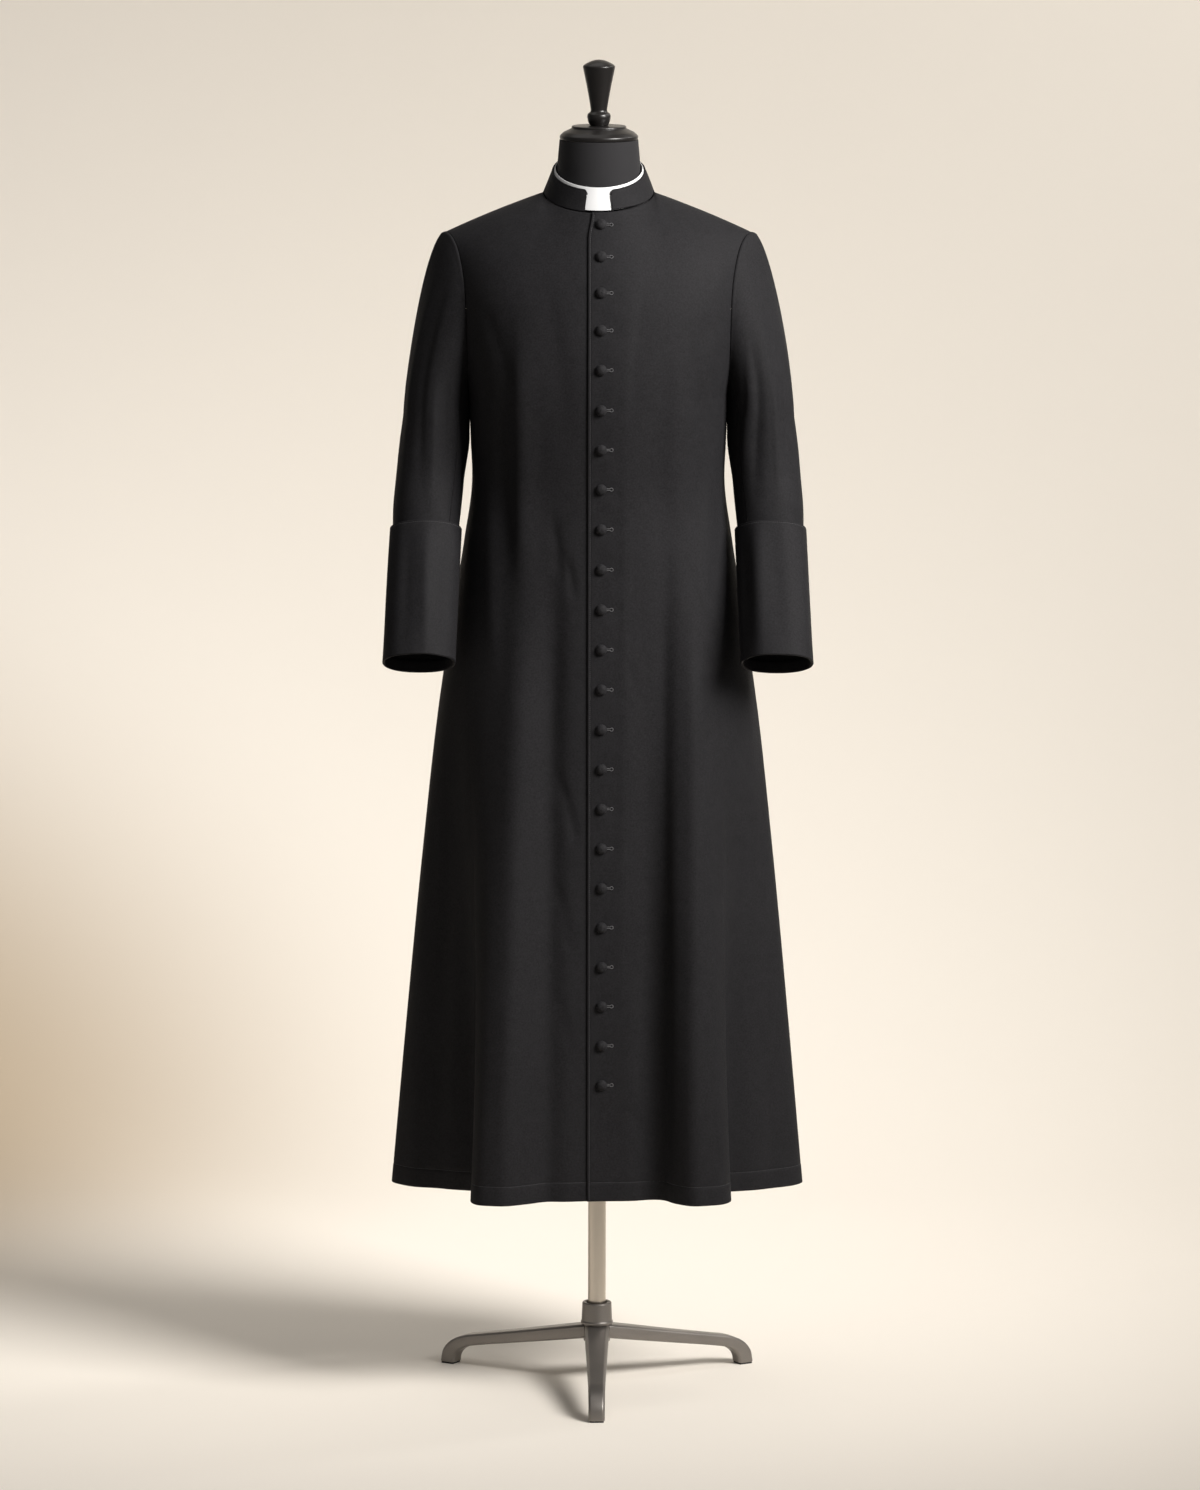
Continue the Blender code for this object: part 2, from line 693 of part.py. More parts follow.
def make_collar():
    """The standing collar: one band, open in a notch at the front, with rounded upper corners."""
    start = math.asin(COLLAR_NOTCH / NECK_WIDTH)
    corner = COLLAR_CORNER / NECK_WIDTH
    near = [start + corner * share for share in (0.0, 0.12, 0.45, 1.0)]
    middle = list(np.linspace(near[-1], 2 * math.pi - near[-1], 25))[1:-1]
    angles = near + middle + [2 * math.pi - a for a in near[::-1]]
    lean = COLLAR_NOTCH_SPREAD / COLLAR_CORNER
    foots, heads = [], []
    for angle in angles:
        reach = min(angle, 2 * math.pi - angle) - start
        share = min(1.0, reach / corner)
        drop = 1 - math.sqrt(1 - (1 - share) ** 2)
        foot, head = collar_edges(angle)
        lift = lap_rise(foot[0]) if foot[0] > 0 else 0.0
        foots.append((lift + COLLAR_FOOT) / np.linalg.norm(head - foot))
        heads.append(1.0 - 0.16 * drop * (1 + lean * 0.2))
    outer, inner = band_grids(angles, foots, heads, 0.0, COLLAR_WALL)
    wall_from_grids("collar", outer, inner, "wool")


def make_insert():
    """The white clerical band inside the collar: a whole ring that shows in the notch and above the edge."""
    count = 32
    angles = [2 * math.pi * i / count for i in range(count)]
    foots, heads = [], []
    for angle in angles:
        foot, head = collar_edges(angle)
        front = 0.5 + 0.5 * math.cos(angle)
        foots.append(INSERT_FOOT)
        heads.append(1 + (INSERT_HEAD * (0.55 + 0.45 * front)) / np.linalg.norm(head - foot))
    outer, inner = band_grids(angles, foots, heads, COLLAR_WALL + INSERT_GAP, INSERT_WALL)
    wall_from_grids("collar_insert", outer, inner, "white_band", closed=True)


def turned(name, profile, finish, steps, matrix=None):
    """A turned solid: the profile runs down the outer side at +X, from the axis or a bore."""
    mesh = bpy.data.meshes.new(name)
    points = [(radius, 0.0, height) for radius, height in profile]
    edges = [(i, i + 1) for i in range(len(points) - 1)]
    mesh.from_pydata(points, edges, [])
    obj = add_object(name, mesh, finish, smooth=False)
    if matrix is not None:
        obj.matrix_world = matrix
    screw = obj.modifiers.new("turn", "SCREW")
    screw.axis = "Z"
    screw.steps = steps
    screw.render_steps = steps
    screw.use_merge_vertices = True
    screw.merge_threshold = 0.00001
    screw.use_smooth_shade = True
    return obj


def button_places():
    """Height and x of each button on the closed front."""
    heights = [BUTTON_TOP]
    for i in range(BUTTON_COUNT - 1):
        heights.append(heights[-1] - (BUTTON_STEPS[i] if i < len(BUTTON_STEPS) else BUTTON_STEP))
    top_x, low_x = BUTTON_X
    for i, height in enumerate(heights):
        yield i, height, top_x + (low_x - top_x) * i / (BUTTON_COUNT - 1)


def make_buttons(panel):
    """Domed buttons covered in the cassock's own cloth, each square to the overlapping front."""
    dome = []
    for i in range(5):
        turn = math.pi / 2 * i / 4
        dome.append((BUTTON_RADIUS * math.sin(turn), BUTTON_HEIGHT * (0.30 + 0.70 * math.cos(turn))))
    profile = dome + [(BUTTON_RADIUS * 0.80, 0.0), (0.0, 0.0)]
    for i, height, x in button_places():
        _, point, normal, _ = panel.ray_cast(Vector((x, -1, height)), Vector((0, 1, 0)))
        turn = Vector((0, 0, 1)).rotation_difference(normal).to_matrix().to_4x4()
        turned(f"button_{i + 1:02d}", profile, "wool", 10, Matrix.Translation(point + BUTTON_CLEAR * normal) @ turn)


def make_form():
    """The torso and neck, whole and closed."""
    count = 28
    heights = [0.992, 1.004, 1.03, 1.08, 1.15, 1.22, 1.29, 1.36, 1.43, 1.50, 1.57, 1.63, 1.68, 1.705, 1.726,
               1.744, 1.760, 1.776, 1.800, 1.830, 1.8605]
    mesh = bpy.data.meshes.new("form_torso")
    bm = bmesh.new()
    rings = []
    for z in heights:
        size = FORM.at(z)
        ring = []
        for i in range(count):
            x, y = oval(2 * math.pi * i / count, size)
            ring.append(bm.verts.new((x, y, z)))
        rings.append(ring)
    for low, high in zip(rings, rings[1:]):
        for i in range(count):
            k = (i + 1) % count
            bm.faces.new((low[i], low[k], high[k], high[i]))
    bm.faces.new(rings[0][::-1])
    bm.faces.new(rings[-1])
    bmesh.ops.recalc_face_normals(bm, faces=bm.faces)
    bm.to_mesh(mesh)
    bm.free()
    add_object("form_torso", mesh, "form_cover")


def make_pole():
    bm = bmesh.new()
    bmesh.ops.create_cone(
        bm, cap_ends=True, segments=24, radius1=POLE_RADIUS, radius2=POLE_RADIUS, depth=POLE_TOP - POLE_FOOT
    )
    mesh = bpy.data.meshes.new("pole")
    bm.to_mesh(mesh)
    bm.free()
    obj = add_object("pole", mesh, "nickel")
    obj.location = (0, 0, (POLE_TOP + POLE_FOOT) / 2)


def make_hub():
    """The hub, with a blind socket for the pole."""
    radius, floor = HUB_SOCKET
    profile = [(0.0, floor), (radius, floor)] + HUB
    turned("base_hub", profile, "coated_steel", 24)


def leg_section(reach, height, half_thickness, half_width, slope):
    """Eight corners of a leg's chamfered section, square to its slope, for a leg that points to +X."""
    slope = math.radians(slope)
    cut_t = half_thickness * (1 - LEG_CHAMFER)
    cut_w = half_width * (1 - LEG_CHAMFER)
    corners = [
        (half_thickness, cut_w),
        (cut_t, half_width),
        (-cut_t, half_width),
        (-half_thickness, cut_w),
        (-half_thickness, -cut_w),
        (-cut_t, -half_width),
        (cut_t, -half_width),
        (half_thickness, -cut_w),
    ]
    return [(reach - t * math.sin(slope), w, height + t * math.cos(slope)) for t, w in corners]


def make_leg(index, degrees):
    """A leg that slopes out from the hub and curls down to the floor, and the pad under its toe."""
    name = f"base_leg_{index + 1}"
    mesh = bpy.data.meshes.new(name)
    bm = bmesh.new()
    rings = [[bm.verts.new(p) for p in leg_section(*row)] for row in LEG.rows]
    for near, far in zip(rings, rings[1:]):
        for i in range(8):
            k = (i + 1) % 8
            bm.faces.new((near[i], near[k], far[k], far[i]))
    bm.faces.new(rings[0])
    bm.faces.new(rings[-1][::-1])
    bmesh.ops.recalc_face_normals(bm, faces=bm.faces)
    bm.to_mesh(mesh)
    bm.free()
    leg = add_object(name, mesh, "coated_steel")
    leg.rotation_euler = (0, 0, math.radians(degrees))

    bm = bmesh.new()
    bmesh.ops.create_cube(bm, size=1)
    bmesh.ops.scale(bm, verts=bm.verts, vec=(PAD_RADIAL, PAD_WIDTH, PAD_THICK))
    pad_mesh = bpy.data.meshes.new(f"foot_pad_{index + 1}")
    bm.to_mesh(pad_mesh)
    bm.free()
    pad = add_object(f"foot_pad_{index + 1}", pad_mesh, "rubber", smooth=False)
    turn = math.radians(degrees)
    pad.location = (PAD_REACH * math.cos(turn), PAD_REACH * math.sin(turn), PAD_THICK / 2)
    pad.rotation_euler = (0, 0, turn)


def main():
    for obj in list(bpy.data.objects):
        bpy.data.objects.remove(obj, do_unlink=True)
    collection = bpy.data.collections.new(COLLECTION)
    bpy.context.scene.collection.children.link(collection)

    front_left = make_panel("front_left", LEFT, "front")
    make_panel("front_right", RIGHT, "front")
    make_panel("back_left", LEFT, "back")
    make_panel("back_right", RIGHT, "back")
    for side, word in ((LEFT, "left"), (RIGHT, "right")):
        make_sleeve(side, word)
        make_cuff(side, word)
    make_collar()
    make_insert()
    bpy.context.view_layer.update()
    make_buttons(front_left)

    make_form()
    turned("neck_cap", CAP, "black_lacquer", 28)
    turned("neck_handle", HANDLE, "black_lacquer", 20)
    make_pole()
    make_hub()
    for index, degrees in enumerate(LEG_ANGLES):
        make_leg(index, degrees)


main()
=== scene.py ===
import math
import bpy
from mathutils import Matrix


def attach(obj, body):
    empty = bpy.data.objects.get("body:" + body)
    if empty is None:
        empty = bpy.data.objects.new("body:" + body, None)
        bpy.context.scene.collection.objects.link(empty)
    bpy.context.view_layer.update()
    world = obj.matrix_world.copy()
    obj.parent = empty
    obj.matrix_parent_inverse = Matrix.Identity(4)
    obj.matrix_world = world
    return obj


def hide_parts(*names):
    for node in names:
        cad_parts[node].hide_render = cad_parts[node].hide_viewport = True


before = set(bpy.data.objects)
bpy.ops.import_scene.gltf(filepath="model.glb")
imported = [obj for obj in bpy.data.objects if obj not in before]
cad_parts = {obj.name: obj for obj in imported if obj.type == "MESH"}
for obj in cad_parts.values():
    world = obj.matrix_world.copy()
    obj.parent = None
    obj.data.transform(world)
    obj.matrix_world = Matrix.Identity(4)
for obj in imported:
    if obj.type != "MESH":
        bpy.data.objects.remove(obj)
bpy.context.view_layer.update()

from types import SimpleNamespace

import bmesh
import bpy
import numpy as np
from mathutils import Vector

left, right = 1, -1  # the wearer's left is at +X, the front faces -Y
sideName = {left: "left", right: "right"}


# Camera

view = {
    "place": (0.0032, -12.1, 2.83),
    "target": (0.0032, 0.0, 0.9645),
    "lens": 199.9,
    "sensor": 36.0,
    "roll": 0.0018,
}


def makeCamera():
    data = bpy.data.cameras.new("camera")
    data.sensor_fit = "VERTICAL"
    data.sensor_height = view["sensor"]
    data.lens = view["lens"]
    data.clip_end = 60
    camera = bpy.data.objects.new("camera", data)
    bpy.context.scene.collection.objects.link(camera)
    camera.location = view["place"]
    ahead = Vector(view["target"]) - Vector(view["place"])
    camera.rotation_euler = ahead.to_track_quat("-Z", "Y").to_euler()
    camera.rotation_euler.rotate_axis("Z", view["roll"])
    bpy.context.scene.camera = camera


makeCamera()
print("camera placed")


# Numbers and curves


def ease(t):
    # 0 to 1 with a soft start and end
    t = np.clip(t, 0.0, 1.0)
    return t * t * (3 - 2 * t)


def bell(t):
    # 1 at zero, falling softly away on both sides
    return np.exp(-(t**2))


def hermite(start, startPull, end, endPull, t):
    return (
        (1 + 2 * t) * (1 - t) ** 2 * start
        + t * (1 - t) ** 2 * startPull
        + t * t * (3 - 2 * t) * end
        - t * t * (1 - t) * endPull
    )


def unit(vectors):
    return vectors / np.maximum(np.linalg.norm(vectors, axis=-1, keepdims=True), 1e-12)


def stack(x, y, z):
    return np.stack(np.broadcast_arrays(x, y, z), axis=-1)


def lengthsAlong(points):
    # the distance of each point of a row from the row's first point, along the row
    run = np.linalg.norm(np.diff(points, axis=-2), axis=-1)
    return np.insert(np.cumsum(run, axis=-1), 0, 0.0, axis=-1)


def closeIn(low, high, isBelow, turns):
    # halves the span between low and high until it holds only the place where isBelow turns false
    for _ in range(turns):
        middle = (low + high) / 2
        below = isBelow(middle)
        low, high = np.where(below, middle, low), np.where(below, high, middle)
    return (low + high) / 2


def mirror(side, *grids):
    # everything is worked out for the wearer's left side, and turned over for the right one
    for grid in grids:
        grid[..., 0] *= side


def turned(x, y, degrees):
    turn = math.radians(degrees)
    return x * math.cos(turn) - y * math.sin(turn), x * math.sin(turn) + y * math.cos(turn)


class Table:
    # rows of numbers under named columns, with a smooth curve through them
    def __init__(self, columns, rows, key=0):
        self.columns = columns
        self.key = key
        self.rows = np.array(sorted(rows, key=lambda row: row[key]), float)
        self.slopes = np.gradient(self.rows, self.rows[:, key], axis=0)

    def at(self, values):
        keys = self.rows[:, self.key]
        values = np.asarray(values, float)
        i = np.clip(np.searchsorted(keys, values) - 1, 0, len(keys) - 2)
        span = keys[i + 1] - keys[i]
        t = ((values - keys[i]) / span)[..., None]
        span = span[..., None]
        row = hermite(self.rows[i], span * self.slopes[i], self.rows[i + 1], span * self.slopes[i + 1], t)
        return SimpleNamespace(**{name: row[..., k] for k, name in enumerate(self.columns)})


# Materials


class Value:
    # a socket's output; arithmetic on it adds Math nodes
    def __init__(self, shader, socket):
        self.shader = shader
        self.socket = socket

    def math(self, operation, *values):
        return self.shader.node("ShaderNodeMath", {"operation": operation}, values)

    def __add__(self, other):
        return self.math("ADD", self, other)

    def __radd__(self, other):
        return self.math("ADD", other, self)

    def __sub__(self, other):
        return self.math("SUBTRACT", self, other)

    def __rsub__(self, other):
        return self.math("SUBTRACT", other, self)

    def __mul__(self, other):
        return self.math("MULTIPLY", self, other)

    def __rmul__(self, other):
        return self.math("MULTIPLY", other, self)

    def wave(self):
        return self.math("SINE", self)


class Shader:
    # a material round one Principled surface
    def __init__(self, name, **constants):
        self.material = bpy.data.materials.new(name)
        self.material.use_nodes = True
        self.tree = self.material.node_tree
        self.surface = self.tree.nodes["Principled BSDF"]
        for socket, value in constants.items():
            self.surface.inputs[socket.replace("_", " ")].default_value = value

    def node(self, kind, settings=None, inputs=(), output=0):
        made = self.tree.nodes.new(kind)
        for name, value in (settings or {}).items():
            setattr(made, name, value)
        pairs = inputs.items() if isinstance(inputs, dict) else enumerate(inputs)
        for name, value in pairs:
            self.feed(made.inputs[name], value)
        return Value(self, made.outputs[output])

    def feed(self, socket, value):
        if isinstance(value, Value):
            self.tree.links.new(value.socket, socket)
        else:
            socket.default_value = value

    def set(self, name, value):
        self.feed(self.surface.inputs[name], value)

    def place(self):
        return self.node("ShaderNodeTexCoord", output="Object")

    def noise(self, scale, detail=3.0, stretch=None):
        vector = self.place()
        if stretch:
            vector = self.node("ShaderNodeMapping", {}, {"Vector": vector, "Scale": stretch})
        return self.node("ShaderNodeTexNoise", {}, {"Vector": vector, "Scale": scale, "Detail": detail})

    def along(self, direction):
        # distance along a direction
        settings = {"operation": "DOT_PRODUCT"}
        return self.node("ShaderNodeVectorMath", settings, [self.place(), direction], output="Value")

    def tint(self, colour, strength):
        # a colour made lighter or darker by a value round 1
        return self.node("ShaderNodeVectorMath", {"operation": "SCALE"}, {0: colour, "Scale": strength})

    def mix(self, factor, first, second):
        colours = [(*c, 1) if isinstance(c, tuple) else c for c in (first, second)]
        inputs = {0: factor, 6: colours[0], 7: colours[1]}
        return self.node("ShaderNodeMix", {"data_type": "RGBA"}, inputs, output=2)

    def bump(self, height, distance, strength=1.0, under=None):
        inputs = {"Height": height, "Distance": distance, "Strength": strength}
        if under:
            inputs["Normal"] = under
        return self.node("ShaderNodeBump", {}, inputs)


def makeWool(name, colour, twill=0.0011, twillDepth=0.00007, rumple=0.0008):
    # black wool: a fine diagonal rib, fibre, a loose mottling and a little bloom at grazing angles
    bloom = {"Sheen_Weight": 0.008, "Sheen_Roughness": 0.5, "Sheen_Tint": (0.95, 0.95, 1.0, 1)}
    shader = Shader(name, Specular_IOR_Level=0.11, **bloom)
    rib = (shader.along((2 * math.pi / twill,) * 3) + shader.noise(300, 2) * 1.6).wave()
    fibre = shader.noise(1500, 2)
    yarn = shader.noise(430, 3)
    mottle = shader.noise(70, 3)
    shade = shader.noise(9, 3)
    texture = fibre * 0.30 + yarn * 1.30 + mottle * 0.36 + shade * 0.30
    shader.set("Base Color", shader.tint(colour, texture - 0.12 + rib * 0.08))
    shader.set("Roughness", 0.60 + fibre * 0.10 + mottle * 0.10)
    soft = shader.bump(mottle + shade * 1.5, rumple, 0.4)
    fine = shader.bump(rib * 0.6 + fibre * 0.5 + yarn * 0.8, twillDepth, 0.6, soft)
    shader.set("Normal", fine)
    return shader.material


def makeThread(name, colour):
    shader = Shader(name, Sheen_Weight=0.1, Specular_IOR_Level=0.5)
    twist = shader.along((3100.0, 2500.0, 3700.0)).wave()
    shader.set("Base Color", shader.tint(colour, 0.9 + twist * 0.2))
    shader.set("Roughness", 0.55 + twist * 0.05)
    return shader.material


def makeWhiteBand():
    shader = Shader("white collar cotton", Specular_IOR_Level=0.5, Coat_Roughness=0.25, Sheen_Weight=0.05)
    weave = shader.along((4200.0, 4200.0, 0.0)).wave() * shader.along((0.0, 0.0, 4200.0)).wave()
    cloud = shader.noise(40, 2)
    shader.set("Base Color", shader.tint((0.66, 0.665, 0.67), 0.96 + cloud * 0.05))
    shader.set("Roughness", 0.38 + cloud * 0.10)
    shader.set("Coat Weight", 0.15 + cloud * 0.1)
    shader.set("Normal", shader.bump(weave, 0.00003, 0.4))
    return shader.material


def makeFormCover():
    # fine stretched jersey: narrow vertical ribs
    shader = Shader("form cover jersey", Sheen_Weight=0.05, Sheen_Roughness=0.4, Specular_IOR_Level=0.3)
    sideways, ahead = shader.along((1, 0, 0)), shader.along((0, 1, 0))
    angle = shader.node("ShaderNodeMath", {"operation": "ARCTAN2"}, [ahead, sideways])
    rib = (angle * 300.0).wave()
    stitch = shader.along((0.0, 0.0, 5200.0)).wave()
    cloud = shader.noise(30, 3)
    shader.set("Base Color", shader.tint((0.0142, 0.0136, 0.0150), 0.70 + cloud * 0.6 + rib * 0.10))
    shader.set("Roughness", 0.78 + cloud * 0.15)
    shader.set("Normal", shader.bump(rib + stitch * 0.5, 0.00006, 0.5))
    return shader.material


def makeLacquer():
    shader = Shader("black lacquered wood", Specular_IOR_Level=0.32, Coat_Roughness=0.2)
    grain = shader.noise(60, 4, (1, 1, 0.12))
    dust = shader.noise(700, 2)
    shader.set("Base Color", shader.tint((0.0085, 0.0074, 0.0070), 0.8 + grain * 0.4))
    shader.set("Roughness", 0.27 + grain * 0.12 + dust * 0.06)
    shader.set("Coat Weight", 0.14 + dust * 0.08)
    shader.set("Normal", shader.bump(grain, 0.00012, 0.25))
    return shader.material


def makeNickel():
    # satin nickel tube, drawn along its length
    shader = Shader("satin nickel", Specular_IOR_Level=0.5)
    drawn = shader.noise(900, 2, (1, 1, 0.02))
    cloud = shader.noise(14, 3)
    shader.set("Base Color", shader.tint((0.56, 0.51, 0.445), 0.92 + drawn * 0.1 + cloud * 0.06))
    shader.set("Metallic", 0.96 + cloud * 0.04)
    shader.set("Roughness", 0.26 + drawn * 0.10 + cloud * 0.05)
    shader.set("Normal", shader.bump(drawn, 0.00003, 0.25))
    return shader.material


def makeCoatedSteel():
    shader = Shader("grey coated casting", Specular_IOR_Level=0.5, Coat_Roughness=0.35)
    fleck = shader.noise(1100, 2)
    orange = shader.noise(320, 2)
    cloud = shader.noise(18, 3)
    shader.set("Base Color", shader.tint((0.215, 0.198, 0.182), 0.75 + fleck * 0.35 + cloud * 0.2))
    shader.set("Metallic", 0.62 + fleck * 0.25)
    shader.set("Roughness", 0.34 + cloud * 0.12 + fleck * 0.06)
    shader.set("Coat Weight", 0.12 + cloud * 0.08)
    shader.set("Normal", shader.bump(orange, 0.00008, 0.35))
    return shader.material


def makeRubber():
    shader = Shader("black rubber", Specular_IOR_Level=0.4)
    scuff = shader.noise(260, 4)
    shader.set("Base Color", shader.tint((0.022, 0.022, 0.022), 0.7 + scuff * 0.6))
    shader.set("Roughness", 0.68 + scuff * 0.2)
    shader.set("Normal", shader.bump(scuff, 0.0001, 0.4))
    return shader.material


finishes = {
    "wool": makeWool("black wool twill", (0.0118, 0.0114, 0.0126)),
    "buttonWool": makeWool("black wool over a button", (0.0152, 0.0147, 0.0160), rumple=0.0003),
    "thread": makeThread("black silk thread", (0.040, 0.039, 0.042)),
    "twist": makeThread("buttonhole twist", (0.100, 0.098, 0.103)),
    "whiteBand": makeWhiteBand(),
    "formCover": makeFormCover(),
    "lacquer": makeLacquer(),
    "nickel": makeNickel(),
    "coatedSteel": makeCoatedSteel(),
    "rubber": makeRubber(),
}
print("materials made")


# Mesh makers


def addPiece(name, points, faces, finish, sharp=40, tidy=False):
    mesh = bpy.data.meshes.new(name)
    mesh.from_pydata([tuple(p) for p in points], [], faces)
    if tidy:
        bm = bmesh.new()
        bm.from_mesh(mesh)
        bmesh.ops.remove_doubles(bm, verts=bm.verts, dist=0.000004)
        bmesh.ops.dissolve_degenerate(bm, edges=bm.edges, dist=0.000004)
        bmesh.ops.recalc_face_normals(bm, faces=bm.faces)
        bm.to_mesh(mesh)
        bm.free()
    mesh.materials.append(finishes[finish])
    mesh.shade_smooth()
    mesh.set_sharp_from_angle(angle=math.radians(sharp))
    piece = bpy.data.objects.new(name, mesh)
    bpy.context.scene.collection.objects.link(piece)
    return piece


def gridFaces(rows, columns, start=0, loop=False, flip=False):
    i, j = np.meshgrid(np.arange(rows - 1), np.arange(columns if loop else columns - 1), indexing="ij")
    k = (j + 1) % columns
    here, below = start + i * columns, start + (i + 1) * columns
    quads = np.stack([here + j, here + k, below + k, below + j], -1).reshape(-1, 4)
    return (quads[:, ::-1] if flip else quads).tolist()


def tubeFaces(rows, columns, start=0):
    # a tube of rings, closed at both ends
    last = start + (rows - 1) * columns
    ends = [list(range(start, start + columns))[::-1], list(range(last, last + columns))]
    return gridFaces(rows, columns, start, True) + ends


def settle(piece, slot, *nodes):
    # a piece belongs to the one body and stands for its plain solids
    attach(piece, "root")
    if nodes:
        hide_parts(*nodes)


def slopes(grid, axis, loop=False):
    if loop and axis == 1:
        return np.roll(grid, -1, axis=1) - np.roll(grid, 1, axis=1)
    return np.gradient(grid, axis=axis)


def gridNormals(grid, outside, loop=False):
    # unit normals of a grid, on the side where outside points
    normals = unit(np.cross(slopes(grid, 1, loop), slopes(grid, 0)))
    return normals * np.sign((normals * outside).sum(-1).mean())


def roundEdge(outer, inner, axis, first):
    # draws a border in by half the wall and adds the two points of its rounded edge to each side
    index = 0 if first else -1
    outer, inner = np.moveaxis(outer, axis, 0).copy(), np.moveaxis(inner, axis, 0).copy()
    next_ = 1 if first else -2
    away = unit((outer[index] + inner[index]) - (outer[next_] + inner[next_]))
    wall = outer[index] - inner[index]
    half = np.linalg.norm(wall, axis=-1, keepdims=True) / 2
    outer[index] -= away * half
    inner[index] -= away * half
    middle = (outer[index] + inner[index]) / 2
    tip = middle + away * half
    shoulder = math.sqrt(0.5)
    outBend = middle + wall / 2 * shoulder + away * half * shoulder
    inBend = middle - wall / 2 * shoulder + away * half * shoulder
    if first:
        outer = np.concatenate([[tip], [outBend], outer])
        inner = np.concatenate([[tip], [inBend], inner])
    else:
        outer = np.concatenate([outer, [outBend], [tip]])
        inner = np.concatenate([inner, [inBend], [tip]])
    return np.moveaxis(outer, 0, axis), np.moveaxis(inner, 0, axis)


def clothPiece(name, outer, normals, wall, finish, loop=False):
    # a closed thin shell: the outer grid, the inner one a wall behind it, and rounded edges between them
    wall = np.broadcast_to(wall, outer.shape[:2])[..., None]
    inner = outer - wall * normals
    outer, inner = roundEdge(outer, inner, 0, True)
    outer, inner = roundEdge(outer, inner, 0, False)
    if not loop:
        outer, inner = roundEdge(outer, inner, 1, True)
        outer, inner = roundEdge(outer, inner, 1, False)
    rows, columns = outer.shape[:2]
    points = np.concatenate([outer.reshape(-1, 3), inner.reshape(-1, 3)])
    faces = gridFaces(rows, columns, loop=loop) + gridFaces(rows, columns, rows * columns, loop, True)
    return addPiece(name, points, faces, finish, 60, True)


def rounded(points, radius, steps=5, loop=False):
    # the outline again with its corners turned into short arcs
    points = [np.array(p, float) for p in points]
    made = []
    for i, point in enumerate(points):
        if not loop and i in (0, len(points) - 1):
            made.append(point)
            continue
        before, after = points[i - 1] - point, points[(i + 1) % len(points)] - point
        reach = min(radius, 0.48 * np.linalg.norm(before), 0.48 * np.linalg.norm(after))
        start, end = point + unit(before) * reach, point + unit(after) * reach
        for t in np.linspace(0, 1, steps):
            made.append((1 - t) ** 2 * start + 2 * t * (1 - t) * point + t * t * end)
    return made


# The body of the cassock

body = {
    "wall": 0.0016,
    "seam": 0.00016,
    "hem": 0.305,
    "underarm": 1.490,
    "ringMiddle": 1.607,
    "shoulder": np.array((0.2272, 0.0, 1.724)),
    "seamPullIn": np.array((0.146, 0.0, -0.052)),
    "seamPullOut": np.array((0.146, 0.0, -0.070)),
    "foldEase": 0.55,
    "leftEdge": 0.0150,
    "leftEdgeTop": 0.0095,
    "rightEdge": 0.0320,
    "rightEdgeTop": 0.0160,
    "cornerLevel": 2.72,
    "lapRise": 0.0029,
    "lapFull": 0.036,
    "lapFade": 0.060,
    "armholeFront": 0.0700,
    "armholeBack": 0.0720,
    "neckShare": 0.43,
    "hemDepth": 0.0285,
    "hemWall": 0.0014,
    "edgeStitch": 0.0034,
    "grooveDepth": 0.00035,
    "grooveHalf": 0.0008,
    "rowStep": 0.0052,
    "columnStep": 0.0050,
}
neckline = {"width": 0.0812, "front": 0.0850, "back": 0.0750, "height": 1.784, "tilt": 0.27}

sections = Table(
    ("height", "halfWidth", "front", "back", "power"),
    [
        (0.305, 0.3062, 0.150, 0.236, 2.25),
        (0.550, 0.2842, 0.146, 0.206, 2.25),
        (0.800, 0.2602, 0.142, 0.178, 2.30),
        (1.030, 0.2346, 0.138, 0.150, 2.35),
        (1.150, 0.2170, 0.135, 0.133, 2.35),
        (1.270, 0.1976, 0.132, 0.112, 2.35),
        (1.360, 0.1858, 0.132, 0.099, 2.40),
        (1.420, 0.1878, 0.139, 0.102, 2.40),
        (1.490, 0.1905, 0.147, 0.109, 2.40),
        (1.550, 0.1920, 0.147, 0.113, 2.40),
        (1.607, 0.1935, 0.142, 0.114, 2.40),
        (1.660, 0.1960, 0.133, 0.112, 2.40),
    ],
)

